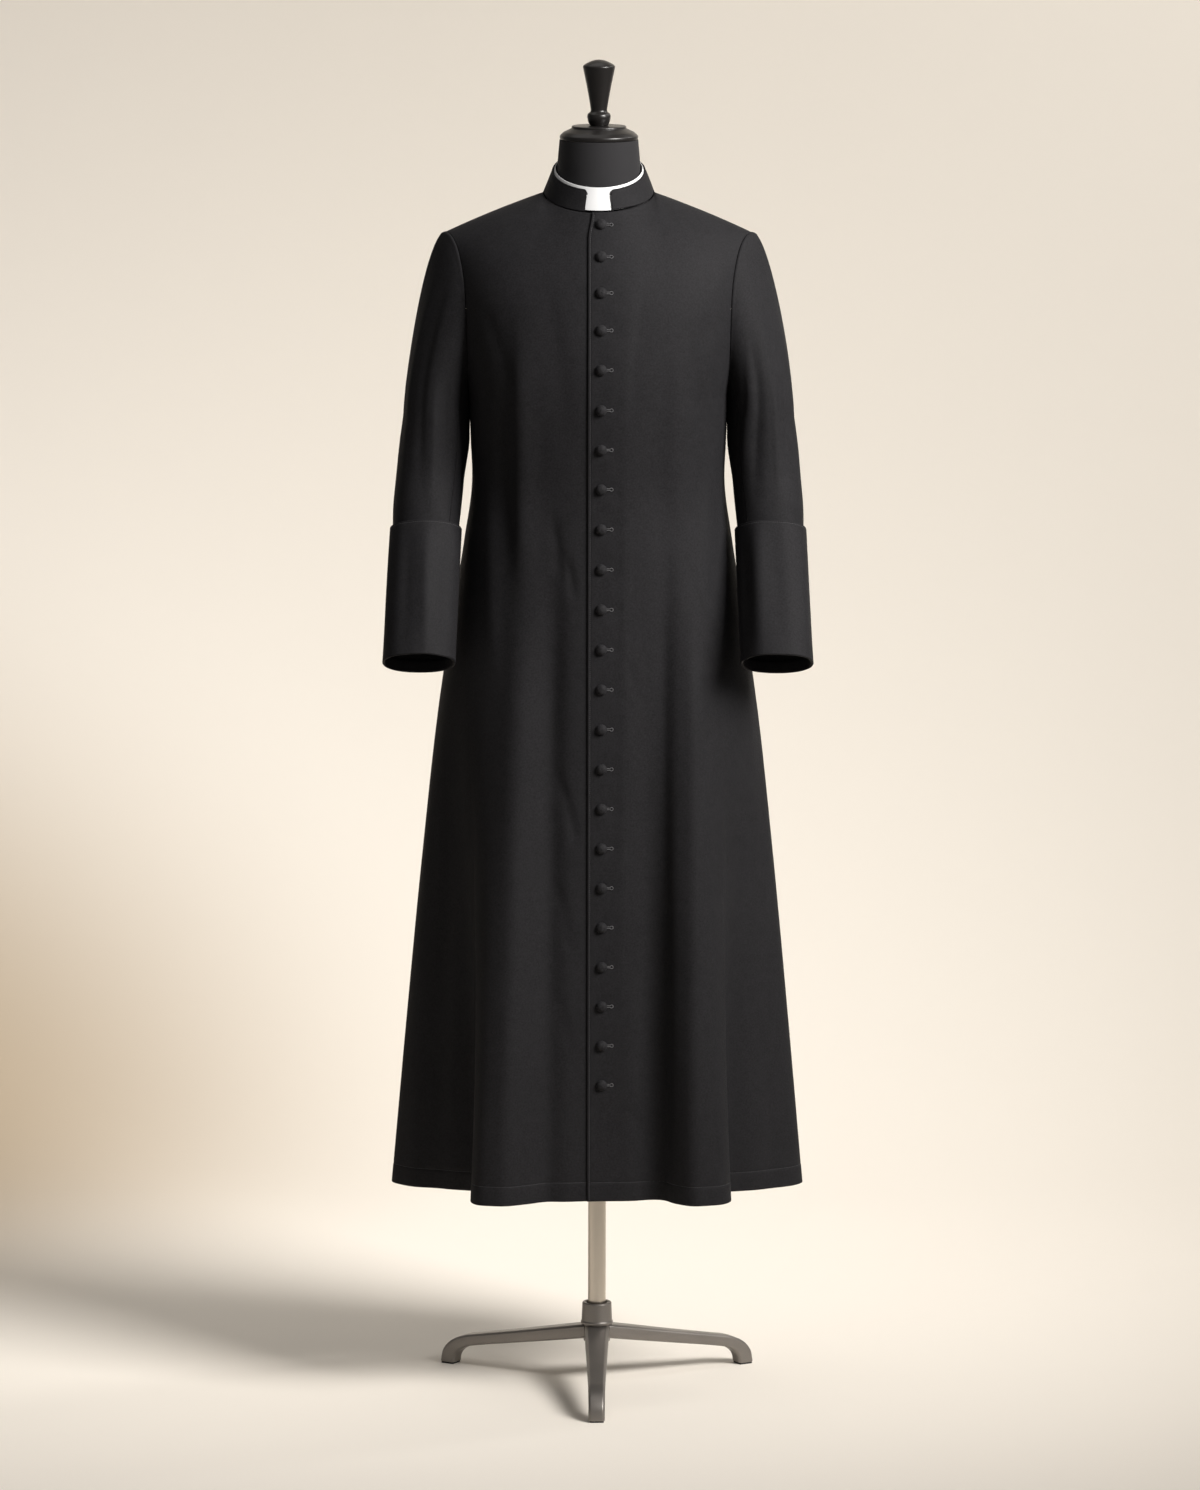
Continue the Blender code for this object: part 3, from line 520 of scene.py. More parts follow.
# big folds of the skirt: the angle round the section in degrees, how far the hem goes outward and around
# there, and the height where that begins
foldColumns = ("angle", "outward", "around", "top")
folds = {
    left: Table(foldColumns, [
        (-10, -0.002, 0.001, 1.15),
        (0, -0.010, 0.000, 1.15),
        (10, -0.011, 0.000, 1.25),
        (16, -0.007, 0.000, 1.32),
        (23, 0.026, 0.001, 1.36),
        (30, 0.036, -0.008, 1.34),
        (38, 0.033, -0.020, 1.26),
        (44, 0.014, -0.032, 1.14),
        (52, -0.028, -0.057, 1.12),
        (61, -0.060, -0.057, 1.10),
        (74, -0.031, -0.019, 1.10),
        (90, 0.000, 0.000, 1.10),
        (100, -0.008, 0.000, 1.10),
        (112, -0.048, 0.020, 1.12),
        (122, -0.026, 0.028, 1.14),
        (136, 0.030, 0.004, 1.18),
        (147, 0.014, -0.010, 1.18),
        (156, -0.034, -0.006, 1.20),
        (168, 0.032, 0.006, 1.22),
        (180, -0.016, 0.000, 1.20),
        (192, 0.032, 0.000, 1.20),
    ]),
    right: Table(foldColumns, [
        (-10, -0.011, 0.000, 1.15),
        (0, -0.010, 0.000, 1.15),
        (9, -0.001, 0.001, 1.15),
        (20, 0.024, -0.002, 1.20),
        (29, 0.039, -0.013, 1.20),
        (37, 0.038, -0.027, 1.16),
        (43, 0.017, -0.041, 1.14),
        (51, -0.031, -0.066, 1.12),
        (60, -0.069, -0.062, 1.10),
        (73, -0.036, -0.018, 1.10),
        (90, 0.000, 0.000, 1.10),
        (101, -0.010, 0.000, 1.10),
        (114, -0.052, 0.020, 1.12),
        (124, -0.022, 0.026, 1.14),
        (139, 0.026, 0.004, 1.18),
        (149, 0.010, -0.008, 1.18),
        (158, -0.030, -0.006, 1.20),
        (169, 0.034, 0.004, 1.22),
        (180, -0.016, 0.000, 1.20),
        (192, 0.032, 0.000, 1.20),
    ]),
}

# creases: a line from (x, z) at its top to (x, z) at its foot, x away from the centre; how wide it is on its
# inner and its outer side, and how far it stands out or, below zero, goes in
creases = {
    ("front", left): [
        # x, z, x, z, inner, outer, depth
        (0.101, 1.420, 0.091, 0.290, 0.026, 0.015, -0.0105),
        (0.139, 1.380, 0.142, 0.290, 0.015, 0.022, 0.0068),
        (0.036, 1.600, 0.036, 0.330, 0.004, 0.012, 0.0007),
        (0.068, 1.690, 0.048, 1.420, 0.010, 0.022, -0.0016),
        (0.120, 1.600, 0.112, 1.280, 0.016, 0.024, 0.0028),
        (0.150, 1.560, 0.140, 1.220, 0.012, 0.012, -0.0022),
        (0.168, 1.440, 0.150, 1.060, 0.012, 0.014, 0.0024),
        (0.215, 1.180, 0.262, 0.290, 0.020, 0.018, -0.0040),
        (0.172, 1.640, 0.128, 1.470, 0.009, 0.012, -0.0015),
        (0.050, 0.980, 0.046, 0.520, 0.010, 0.016, -0.0014),
        (0.030, 0.455, 0.085, 0.385, 0.006, 0.007, -0.0010),
        (0.036, 1.120, 0.060, 1.040, 0.006, 0.007, -0.0009),
    ],
    ("front", right): [
        (0.064, 1.400, 0.072, 0.290, 0.017, 0.026, -0.0095),
        (0.046, 1.270, 0.034, 1.190, 0.0045, 0.007, -0.0022),
        (0.062, 0.960, 0.028, 0.822, 0.0050, 0.009, -0.0026),
        (0.064, 0.800, 0.036, 0.660, 0.0060, 0.010, -0.0018),
        (0.056, 0.620, 0.040, 0.520, 0.0060, 0.009, -0.0014),
        (0.070, 1.340, 0.052, 1.205, 0.006, 0.010, -0.0018),
        (0.116, 1.640, 0.112, 1.160, 0.020, 0.012, 0.0062),
        (0.082, 1.690, 0.045, 1.400, 0.016, 0.020, -0.0018),
        (0.140, 1.540, 0.132, 1.200, 0.012, 0.014, -0.0030),
        (0.166, 1.420, 0.152, 1.040, 0.012, 0.014, 0.0026),
        (0.112, 1.300, 0.136, 0.290, 0.020, 0.020, 0.0050),
        (0.205, 1.160, 0.240, 0.290, 0.018, 0.020, -0.0050),
        (0.232, 1.060, 0.275, 0.290, 0.016, 0.014, 0.0030),
        (0.172, 1.640, 0.126, 1.480, 0.009, 0.012, -0.0014),
    ],
    ("back", left): [
        (0.030, 1.700, 0.040, 1.400, 0.018, 0.022, -0.0018),
        (0.080, 1.640, 0.062, 1.250, 0.016, 0.024, -0.0034),
        (0.118, 1.560, 0.100, 1.120, 0.014, 0.018, 0.0030),
        (0.150, 1.520, 0.132, 1.180, 0.012, 0.012, -0.0028),
        (0.172, 1.640, 0.120, 1.480, 0.009, 0.013, -0.0018),
        (0.070, 1.240, 0.096, 0.290, 0.018, 0.016, -0.0034),
        (0.022, 1.160, 0.028, 0.290, 0.014, 0.016, 0.0022),
        (0.205, 1.180, 0.262, 0.290, 0.020, 0.018, -0.0040),
        (0.165, 1.240, 0.186, 0.640, 0.012, 0.016, -0.0028),
    ],
    ("back", right): [
        (0.026, 1.690, 0.044, 1.430, 0.016, 0.020, -0.0016),
        (0.088, 1.620, 0.070, 1.220, 0.018, 0.022, -0.0038),
        (0.124, 1.570, 0.108, 1.150, 0.014, 0.018, 0.0030),
        (0.152, 1.500, 0.140, 1.210, 0.012, 0.012, -0.0024),
        (0.174, 1.630, 0.126, 1.500, 0.009, 0.013, -0.0016),
        (0.062, 1.200, 0.086, 0.290, 0.016, 0.018, -0.0036),
        (0.026, 1.100, 0.030, 0.290, 0.014, 0.016, 0.0020),
        (0.210, 1.140, 0.258, 0.290, 0.018, 0.020, -0.0044),
        (0.158, 1.220, 0.176, 0.700, 0.014, 0.016, -0.0024),
    ],
}


def oval(angle, size):
    # a point of a squarish oval; the angle is 0 at the centre front and pi at the centre back
    s, c = np.sin(angle), np.cos(angle)
    reach = (abs(s) ** size.power + abs(c) ** size.power) ** (1 / size.power)
    depth = np.where(c > 0, size.front, size.back)
    return size.halfWidth * s / reach, -depth * c / reach


def skirtPoint(side, angle, height):
    # a point of the body below the underarm; a negative angle is on the other side's folds
    turn = abs(angle)
    size = sections.at(height)
    step = 0.01
    ax, ay = oval(turn + step, size)
    bx, by = oval(turn - step, size)
    run = np.hypot(ax - bx, ay - by)
    alongX, alongY = (ax - bx) / run, (ay - by) / run
    own, other = folds[side].at(np.degrees(turn)), folds[-side].at(np.degrees(turn))
    outward = np.where(angle < 0, other.outward, own.outward)
    around = np.where(angle < 0, other.around, own.around)
    top = np.where(angle < 0, other.top, own.top)
    depth = (top - height) / (top - body["hem"])
    growth = body["foldEase"] * ease(depth) + (1 - body["foldEase"]) * np.maximum(0.0, depth)
    x, y = oval(turn, size)
    x = x + growth * (outward * alongY + around * alongX)
    y = y + growth * (-outward * alongX + around * alongY)
    return stack(np.where(angle < 0, -x, x), y, height)


def chestPoint(half, across, height):
    # a point between the underarm and the armhole's widest level
    size = sections.at(height)
    depth = body["armholeFront"] if half == "front" else body["armholeBack"]
    level = np.minimum(1.0, (body["ringMiddle"] - height) / (body["ringMiddle"] - body["underarm"]))
    y = depth * np.sqrt(np.maximum(0.0, 1 - level * level))
    share = y / (size.front if half == "front" else size.back)
    x = size.halfWidth
    size.halfWidth = x / (1 - share**size.power) ** (1 / size.power)
    angle = across * np.arctan2(x / size.halfWidth, share)
    px, py = oval(angle if half == "front" else np.pi - angle, size)
    return stack(px, py, height)


def necklinePoint(angle, width, front, back, height, tilt):
    c = np.cos(angle)
    y = -np.where(c > 0, front, back) * c
    return stack(width * np.sin(angle), y, height + tilt * y)


def shoulderSeam(share):
    start = necklinePoint(np.pi / 2, **neckline)
    share = np.asarray(share)[..., None]
    return hermite(start, body["seamPullIn"], body["shoulder"], body["seamPullOut"], share)


def shoulderPoint(half, across, rise):
    # a point above the armhole's widest level; rise is 1 at the neckline and the shoulder seam
    step = 0.004
    middle = np.full_like(across, body["ringMiddle"])
    low = chestPoint(half, across, middle)
    slope = (low - chestPoint(half, across, middle - step)) / step
    turn = np.minimum(across / body["neckShare"], 1) * np.pi / 2
    share = (across - body["neckShare"]) / (1 - body["neckShare"])
    onNeck = across < body["neckShare"]
    run = shoulderSeam(share + step) - shoulderSeam(share - step)
    seamFall = body["seamPullIn"][2] / body["seamPullIn"][0]
    neck = necklinePoint(turn if half == "front" else np.pi - turn, **neckline)
    high = np.where(onNeck[..., None], neck, shoulderSeam(share))
    lean = np.where(onNeck, 0.85 * np.cos(turn), 0.0)
    fall = np.where(onNeck, seamFall * np.sin(turn), run[..., 2] / run[..., 0])
    gain = high - low
    roundOff = ease(across)
    startPull = slope * (gain[..., 2] * (1.05 + 0.60 * roundOff))[..., None]
    startPull[..., 0] = startPull[..., 0] * 0.3 + gain[..., 0] * 0.4 * (1 - roundOff)
    endX = gain[..., 0] * (1 + 0.9 * roundOff)
    endPull = stack(endX, 1.45 * gain[..., 1], lean * gain[..., 2] + fall * endX)
    return hermite(low, startPull, high, endPull, rise[..., None])


def panelPoint(side, half, across, level):
    # across: 0 at the centre line, 1 at the side seam or the armhole; level: 0 hem, 1 underarm, 2 the
    # armhole's widest level, 3 neckline and shoulder seam
    across, level = np.broadcast_arrays(np.asarray(across, float), np.asarray(level, float))
    angle = across * np.pi / 2
    height = body["hem"] + (body["underarm"] - body["hem"]) * np.minimum(level, 1)
    low = skirtPoint(side, angle if half == "front" else np.pi - angle, height)
    ring = np.clip(level - 1, 0, 1)
    height = body["ringMiddle"] - (body["ringMiddle"] - body["underarm"]) * np.cos(ring * np.pi / 2)
    chest = chestPoint(half, across, height)
    top = shoulderPoint(half, across, np.maximum(level - 2, 0))
    level = level[..., None]
    return np.where(level <= 1, low, np.where(level <= 2, chest, top))


def panelNormal(side, half, across, level):
    step = 0.006
    up = panelPoint(side, half, across, level + step) - panelPoint(side, half, across, level - step)
    around = panelPoint(side, half, across + step, level) - panelPoint(side, half, across - step, level)
    return unit(np.cross(around, up)) * (-1 if half == "back" else 1)


def frontStart(side, level):
    # where across each row of a front begins, past the centre line
    edge, top = body[sideName[side] + "Edge"], body[sideName[side] + "EdgeTop"]
    edge = edge + (top - edge) * ease((level - body["cornerLevel"]) / (3 - body["cornerLevel"]))

    def isPast(across):
        return panelPoint(side, "front", across, level)[..., 0] < -edge

    return closeIn(np.full_like(level, -0.6), np.zeros_like(level), isPast, 24)


def creaseShift(rows, x, z):
    # how far the cloth stands out at (x, z), from every crease of a piece
    shift = np.zeros_like(x)
    for xTop, zTop, xLow, zLow, inner, outer, depth in rows:
        t = (zTop - z) / (zTop - zLow)
        path = xTop + (xLow - xTop) * t + 0.12 * (xLow - xTop) * np.sin(np.pi * np.clip(t, 0, 1))
        offset = x - path
        width = np.where(offset > 0, outer, inner)
        runOut = 1.0 if zLow < body["hem"] else ease((1 - t) / 0.35)
        shift += depth * ease(t / 0.35) * runOut * bell(offset / width)
    return shift


def lapRise(x):
    return body["lapRise"] * (1 - ease((x - body["lapFull"]) / body["lapFade"]))


def panelLevels():
    hem, underarm, step = body["hem"], body["underarm"], body["rowStep"]
    stitch = body["hemDepth"]
    near = [0, 0.0015, 0.004, 0.009, 0.015, 0.021, stitch - 0.003, stitch - 0.0012, stitch - 0.0004]
    near += [stitch + 0.0004, stitch + 0.0012, stitch + 0.003]
    rest = np.arange(stitch + 0.007, underarm - hem - step / 2, step)
    skirt = np.concatenate([near, rest]) / (underarm - hem)
    return np.concatenate([skirt, np.linspace(1, 2, 27)[:-1], np.linspace(2, 3, 44)])


def spreadColumns(side, half, levels):
    # where across each row its points lie: fixed distances near the opening, then even steps, with one column
    # always at the neck end of the shoulder seam
    start = frontStart(side, levels) if half == "front" else np.zeros_like(levels)
    share = body["neckShare"]
    fine = np.linspace(0, 1, 161)
    toNeck = start[:, None] + (share - start[:, None]) * fine
    beyond = share + (1 - share) * fine + 0 * start[:, None]
    firstLengths = lengthsAlong(panelPoint(side, half, toNeck, levels[:, None]))
    lastLengths = lengthsAlong(panelPoint(side, half, beyond, levels[:, None]))
    near = np.array([0, 0.0008, 0.0018, 0.0032, 0.0055])
    if half == "front":
        groove = body["edgeStitch"] + np.array([-0.0009, -0.0003, 0.0003, 0.0009])
        near = np.concatenate([near[:3], groove, [0.0062, 0.009]])
    firstCount = int(firstLengths[:, -1].max() / body["columnStep"] * 0.8)
    lastCount = int(lastLengths[:, -1].max() / body["columnStep"] * 0.8)
    rows = []
    for a, b, first, last in zip(toNeck, beyond, firstLengths, lastLengths):
        even = near[-1] + (first[-1] - near[-1]) * np.linspace(0, 1, firstCount)[1:]
        edge = last[-1] - np.array([0.0034, 0.0018, 0.0008, 0])
        more = np.append(edge[0] * np.linspace(0, 1, lastCount)[1:], edge[1:])
        rows.append(np.concatenate([np.interp(np.append(near, even), first, a), np.interp(more, last, b)]))
    return np.array(rows)


def drawIn(grid, amount, bottom=False, top=False, start=False, end=False):
    # draws the asked-for borders in by half a seam
    grid = grid.copy()
    if bottom:
        grid[0] += amount * unit(grid[1] - grid[0])
    if top:
        grid[-1] += amount * unit(grid[-2] - grid[-1])
    if start:
        grid[:, 0] += amount * unit(grid[:, 1] - grid[:, 0])
    if end:
        grid[:, -1] += amount * unit(grid[:, -2] - grid[:, -1])
    return grid


buttons = {
    "count": 23,
    "radius": 0.0082,
    "height": 0.0066,
    "above": 0.0005,
    "top": 1.7450,
    "firstSteps": (0.0450, 0.0510, 0.0535, 0.0575),
    "step": 0.0588,
    "x": (0.0036, 0.0064),
    "pucker": 0.0009,
    "heldDown": 0.00035,
}


def buttonPlaces():
    # the height of each button and its distance from the centre line
    heights = [buttons["top"]]
    for i in range(buttons["count"] - 1):
        steps = buttons["firstSteps"]
        heights.append(heights[-1] - (steps[i] if i < len(steps) else buttons["step"]))
    topX, lowX = buttons["x"]
    return [(height, topX + (lowX - topX) * i / (buttons["count"] - 1)) for i, height in enumerate(heights)]


def pucker(x, z):
    # the overlapping front lifts a little between the buttons and is held down at each
    places = np.array([height for height, _ in buttonPlaces()])
    nearest = abs(z[..., None] - places).min(-1)
    beside = bell((x - 0.021) / 0.013)
    inRow = ease((z - places[-1] + 0.05) / 0.04) * ease((places[0] + 0.02 - z) / 0.03)
    return (buttons["pucker"] * ease(nearest / 0.026) - buttons["heldDown"]) * beside * inRow


def panelSurface(side, half, across, level):
    # the finished outer face, with the lap, the creases and the stitched lines, and its normals
    level = np.broadcast_to(level, across.shape)
    base = panelPoint(side, half, across, level)
    normals = panelNormal(side, half, across, level)
    x, z = base[..., 0], base[..., 2]
    shift = creaseShift(creases[half, side], x, z) * ease((1 - across) / 0.12)
    if (half, side) == ("front", left):
        shift = shift + lapRise(x) + pucker(x, z)
    elif half == "front":
        shift = shift * ease((x + 0.012) / 0.05)
    # the turned-in hem is a little fuller below its line of stitches
    fromLine = z - body["hem"] - body["hemDepth"]
    shift = shift - 0.00040 * bell(fromLine / 0.0012) + 0.00030 * ease(-fromLine / 0.002)
    return base + shift[..., None] * normals, normals


def makePanel(half, side):
    levels = panelLevels()
    across = spreadColumns(side, half, levels)
    outer, normals = panelSurface(side, half, across, levels[:, None])
    if (half, side) == ("front", left):
        fromEdge = np.linalg.norm(outer - outer[:, :1], axis=-1)
        groove = body["grooveDepth"] * bell((fromEdge - body["edgeStitch"]) / body["grooveHalf"])
        outer -= groove[..., None] * normals
    outer = drawIn(outer, body["seam"], top=True, start=half == "back", end=True)
    normals = gridNormals(outer, normals)
    fromHem = outer[..., 2] - body["hem"]
    wall = body["wall"] + body["hemWall"] * (1 - ease((fromHem - body["hemDepth"] + 0.001) / 0.003))
    mirror(side, outer, normals)
    piece = clothPiece(sideName[side] + half.capitalize(), outer, normals, wall, "wool")
    settle(piece, "wool", f"{half}_{sideName[side]}")


makePanel("front", left)
makePanel("front", right)
makePanel("back", left)
makePanel("back", right)
print("body panels made")


# Sleeves

sleeve = {
    "start": 1.455,
    "end": 1.140,
    "power": 2.2,
    "frontSeam": 1.5,
    "backSeam": 3.0,
    "rows": 118,
    "columnStep": 0.036,
    "headRoll": 0.0009,
    "creaseShare": 0.62,
    "underarmFull": 0.0052,
}
armColumns = ("x", "y", "z", "halfWidth", "halfDepth", "lean")
armSections = Table(
    armColumns,
    [
        (0.2408, 0.000, 1.455, 0.0470, 0.0680, 2),
        (0.2440, -0.004, 1.410, 0.0498, 0.0640, 7),
        (0.2475, -0.014, 1.362, 0.0506, 0.0590, 15),
        (0.2515, -0.030, 1.320, 0.0500, 0.0530, 21),
        (0.2535, -0.044, 1.285, 0.0482, 0.0460, 24),
        (0.2580, -0.088, 1.188, 0.0480, 0.0455, 24),
        (0.2602, -0.110, 1.140, 0.0475, 0.0455, 24),
    ],
    key=2,
)

# creases of a sleeve: quarter round the arm (0 outside, 1 in front, 2 inside, 3 behind) and how far down,
# at both ends; width in quarters; depth
sleeveCreases = {
    left: [
        # quarter, down, quarter, down, width, depth
        (0.86, 0.30, 1.30, 1.50, 0.105, -0.0046),
        (1.06, 0.35, 1.52, 1.42, 0.090, 0.0030),
        (0.42, 0.10, 0.62, 1.46, 0.120, -0.0034),
        (0.18, 0.35, 0.30, 1.48, 0.100, 0.0024),
        (0.70, 0.62, 0.84, 1.50, 0.080, 0.0022),
        (3.35, 0.25, 3.10, 1.40, 0.110, -0.0034),
        (2.70, 0.20, 2.45, 1.30, 0.120, -0.0036),
        (3.70, 0.20, 3.62, 1.44, 0.110, 0.0024),
        (2.20, 0.60, 2.00, 1.40, 0.110, -0.0028),
        (3.05, 0.95, 3.50, 1.18, 0.085, -0.0024),
        (2.80, 1.10, 3.40, 1.30, 0.080, -0.0022),
    ],
    right: [
        (0.52, 0.12, 0.88, 1.48, 0.110, -0.0040),
        (0.30, 0.15, 0.52, 1.46, 0.080, 0.0026),
        (1.12, 0.40, 1.36, 1.52, 0.095, -0.0036),
        (0.94, 0.66, 1.10, 1.50, 0.075, 0.0026),
        (0.02, 0.30, 0.12, 1.40, 0.110, -0.0026),
        (3.40, 0.25, 3.16, 1.42, 0.110, -0.0036),
        (2.76, 0.22, 2.50, 1.32, 0.120, -0.0034),
        (3.74, 0.18, 3.66, 1.40, 0.110, 0.0022),
        (2.16, 0.60, 1.98, 1.42, 0.110, -0.0026),
        (3.00, 1.00, 3.46, 1.20, 0.085, -0.0026),
    ],
}


def armSection(table, height, quarter):
    row = table.at(height)
    turn = quarter * np.pi / 2
    s, c = np.sin(turn), np.cos(turn)
    reach = (abs(s) ** sleeve["power"] + abs(c) ** sleeve["power"]) ** (1 / sleeve["power"])
    lean = np.radians(row.lean)
    out, forward = row.halfWidth * c / reach, row.halfDepth * s / reach
    return stack(row.x + out, row.y - forward * np.cos(lean), row.z + forward * np.sin(lean))


def armholeRing(side, quarter):
    front = panelPoint(side, "front", 1.0, 3 - np.minimum(quarter, 2))
    back = panelPoint(side, "back", 1.0, np.maximum(quarter, 2) - 1)
    return np.where((quarter <= 2)[..., None], front, back)


def sleevePoint(side, quarter, down):
    quarter, down = np.broadcast_arrays(np.mod(quarter, 4.0), np.asarray(down, float))
    start, finish = sleeve["start"], sleeve["end"]
    low = armSection(armSections, start + (finish - start) * np.maximum(down - 1, 0), quarter)
    ring = armholeRing(side, quarter)
    end = armSection(armSections, np.full_like(quarter, start), quarter)
    high = 0.5 + 0.5 * np.cos(quarter * np.pi / 2)
    forward = np.sin(quarter * np.pi / 2)
    drop = ring[..., 2] - end[..., 2]
    startPull = stack(0.014 + 0.046 * high, -0.016 * forward * (1 - high), -0.10 * (1 - high) * drop)
    endPull = stack(0.012 * high, 0.0, -1.12 * drop)
    upper = hermite(ring, startPull, end, endPull, np.minimum(down, 1)[..., None])
    return np.where((down > 1)[..., None], low, upper)


def sleeveShift(side, quarter, down):
    shift = np.zeros_like(quarter * down)
    for qTop, dTop, qLow, dLow, width, depth in sleeveCreases[side]:
        t = (down - dTop) / (dLow - dTop)
        path = qTop + (qLow - qTop) * t
        offset = np.mod(quarter - path + 2, 4) - 2
        skew = np.where(offset * (qLow - qTop) > 0, 0.7, 1.25)
        shift += depth * ease(t / 0.4) * ease((1 - t) / 0.3) * bell(offset / (width * skew))
    shift *= sleeve["creaseShare"]
    # the sleeve is full enough under the arm to rest against the body
    inside = bell((np.mod(quarter, 4) - 2) / 0.42)
    shift += sleeve["underarmFull"] * inside * ease(down / 0.4) * ease((1.32 - down) / 0.22)
    high = 0.5 + 0.5 * np.cos(quarter * np.pi / 2)
    roll = sleeve["headRoll"] * high * bell((down - 0.045) / 0.035)
    return shift * ease((1.62 - down) / 0.14) + roll


def makeSleevePiece(part, side, start, end):
    near = np.array([0.0, 0.008, 0.018])
    step = sleeve["columnStep"]
    even = np.linspace(start + step, end - step, int((end - start) / step))
    columns = np.concatenate([start + near, even, end - near[::-1]])
    downs = np.concatenate([[0, 0.006, 0.014, 0.026], np.linspace(0.04, 2.0, sleeve["rows"])])[:, None]
    outer = sleevePoint(side, columns, downs)
    turn = 0.01
    lower = np.maximum(downs - turn, 0)
    along = sleevePoint(side, columns, downs + turn) - sleevePoint(side, columns, lower)
    around = sleevePoint(side, columns + turn, downs) - sleevePoint(side, columns - turn, downs)
    normals = unit(np.cross(around, along))
    outer = outer + sleeveShift(side, columns, downs)[..., None] * normals
    outer = drawIn(outer, body["seam"], bottom=True, start=True, end=True)
    normals = gridNormals(outer, normals)
    mirror(side, outer, normals)
    word = sideName[side]
    piece = clothPiece(f"{word}{part.capitalize()}Sleeve", outer, normals, body["wall"], "wool")
    settle(piece, "wool", f"sleeve_{word}_{part}")


for side in (left, right):
    makeSleevePiece("top", side, sleeve["backSeam"] - 4, sleeve["frontSeam"])
    makeSleevePiece("under", side, sleeve["frontSeam"], sleeve["backSeam"])
print("sleeves made")


# Cuffs

cuff = {
    "top": 1.2910,
    "end": 1.1040,
    "wall": 0.0018,
    "hemWall": 0.0040,
    "hem": 0.016,
    "stitch": 0.0026,
    "creaseShare": 1.5,
    "columns": 132,
}
cuffSections = Table(
    armColumns,
    [
        (0.2530, -0.0420, 1.2910, 0.0528, 0.0510, 24),
        (0.2575, -0.0860, 1.1930, 0.0530, 0.0512, 24),
        (0.2612, -0.1205, 1.1160, 0.0534, 0.0515, 24),
        (0.2618, -0.1258, 1.1040, 0.0536, 0.0516, 24),
    ],
    key=2,
)
# soft edges down a cuff: quarter at its top and foot, width in quarters, depth
cuffCreases = {
    left: [
        (1.26, 1.30, 0.13, 0.0024),
        (1.55, 1.60, 0.16, -0.0020),
        (0.95, 0.90, 0.16, -0.0012),
        (0.35, 0.42, 0.14, 0.0012),
        (2.60, 2.55, 0.18, 0.0016),
        (3.20, 3.30, 0.20, -0.0018),
    ],
    right: [
        (1.02, 1.12, 0.12, 0.0022),
        (0.70, 0.74, 0.14, -0.0018),
        (1.40, 1.46, 0.15, -0.0016),
        (0.20, 0.26, 0.14, 0.0012),
        (2.50, 2.60, 0.18, 0.0016),
        (3.30, 3.20, 0.20, -0.0018),
    ],
}


def makeCuff(side):
    # returns the row of its outer face that the stitches follow, with the normals there
    length = cuff["top"] - cuff["end"]
    stitch = cuff["stitch"]
    nearTop = [0, 0.0008, 0.0016, stitch - 0.0005, stitch, stitch + 0.0005, stitch + 0.0014, 0.006]
    nearEnd = np.array([0.0175, 0.0165, 0.0155, 0.0145, 0.012, 0.009, 0.006, 0.003, 0.0012, 0])
    falls = np.concatenate([nearTop, np.linspace(0.010, length - 0.020, 30), length - nearEnd])[:, None]
    quarter = np.linspace(0, 4, cuff["columns"], endpoint=False)
    heights = cuff["top"] - falls + 0 * quarter
    outer = armSection(cuffSections, heights, quarter)
    normals = gridNormals(outer, unit(outer - outer.mean(axis=1, keepdims=True)), True)
    share = falls / length
    # deepest half way down, a quarter as deep at the ends
    strength = cuff["creaseShare"] * (0.25 + 0.75 * np.sin(np.pi * np.clip(share, 0, 1)) ** 0.8)
    shift = np.zeros_like(heights)
    for qTop, qLow, width, depth in cuffCreases[side]:
        offset = np.mod(quarter - (qTop + (qLow - qTop) * share) + 2, 4) - 2
        shift += strength * depth * bell(offset / width)
    shift -= 0.00035 * bell((falls - stitch) / 0.0009)
    outer = outer + shift[..., None] * normals
    normals = gridNormals(outer, normals, True)
    aboveHem = ease((length - falls - cuff["hem"] + 0.001) / 0.002)
    wall = cuff["wall"] + (cuff["hemWall"] - cuff["wall"]) * (1 - aboveHem)
    mirror(side, outer, normals)
    word = sideName[side]
    piece = clothPiece(word + "Cuff", outer, normals, wall, "wool", loop=True)
    settle(piece, "wool", "cuff_" + word)
    row = nearTop.index(stitch)
    return outer[row], normals[row]


cuffLines = [makeCuff(left), makeCuff(right)]
print("cuffs made")


# Collar and its white insert

collar = {
    "head": {"width": 0.0680, "front": 0.0778, "back": 0.0665, "height": 1.8145, "tilt": 0.27},
    "backRise": 0.006,
    "wall": 0.0022,
    "notch": 0.0207,
    "corner": 0.0050,
    "foot": 0.0007,
    "stitch": 0.0030,
    "rows": 26,
}
insert = {"wall": 0.0011, "gap": 0.0006, "foot": 0.10, "head": 0.0042, "rows": 16, "columns": 180}


def collarEdges(angle):
    foot = necklinePoint(angle, **neckline)
    head = necklinePoint(angle, **collar["head"])
    head[..., 2] += collar["backRise"] * (0.5 - 0.5 * np.cos(angle))
    return foot, head


def bandGrid(angles, foots, heads, depth, rows):
    # a band's outer face, a depth inside the collar's, and its outward directions
    foot, head = collarEdges(angles)
    step = 0.01
    around = collarEdges(angles + step)[0] - collarEdges(angles - step)[0]
    outward = unit(np.cross(around, head - foot))
    share = foots + (heads - foots) * rows[:, None]
    points = foot + (head - foot) * share[..., None] - depth * outward
    return points, np.broadcast_to(outward, points.shape)


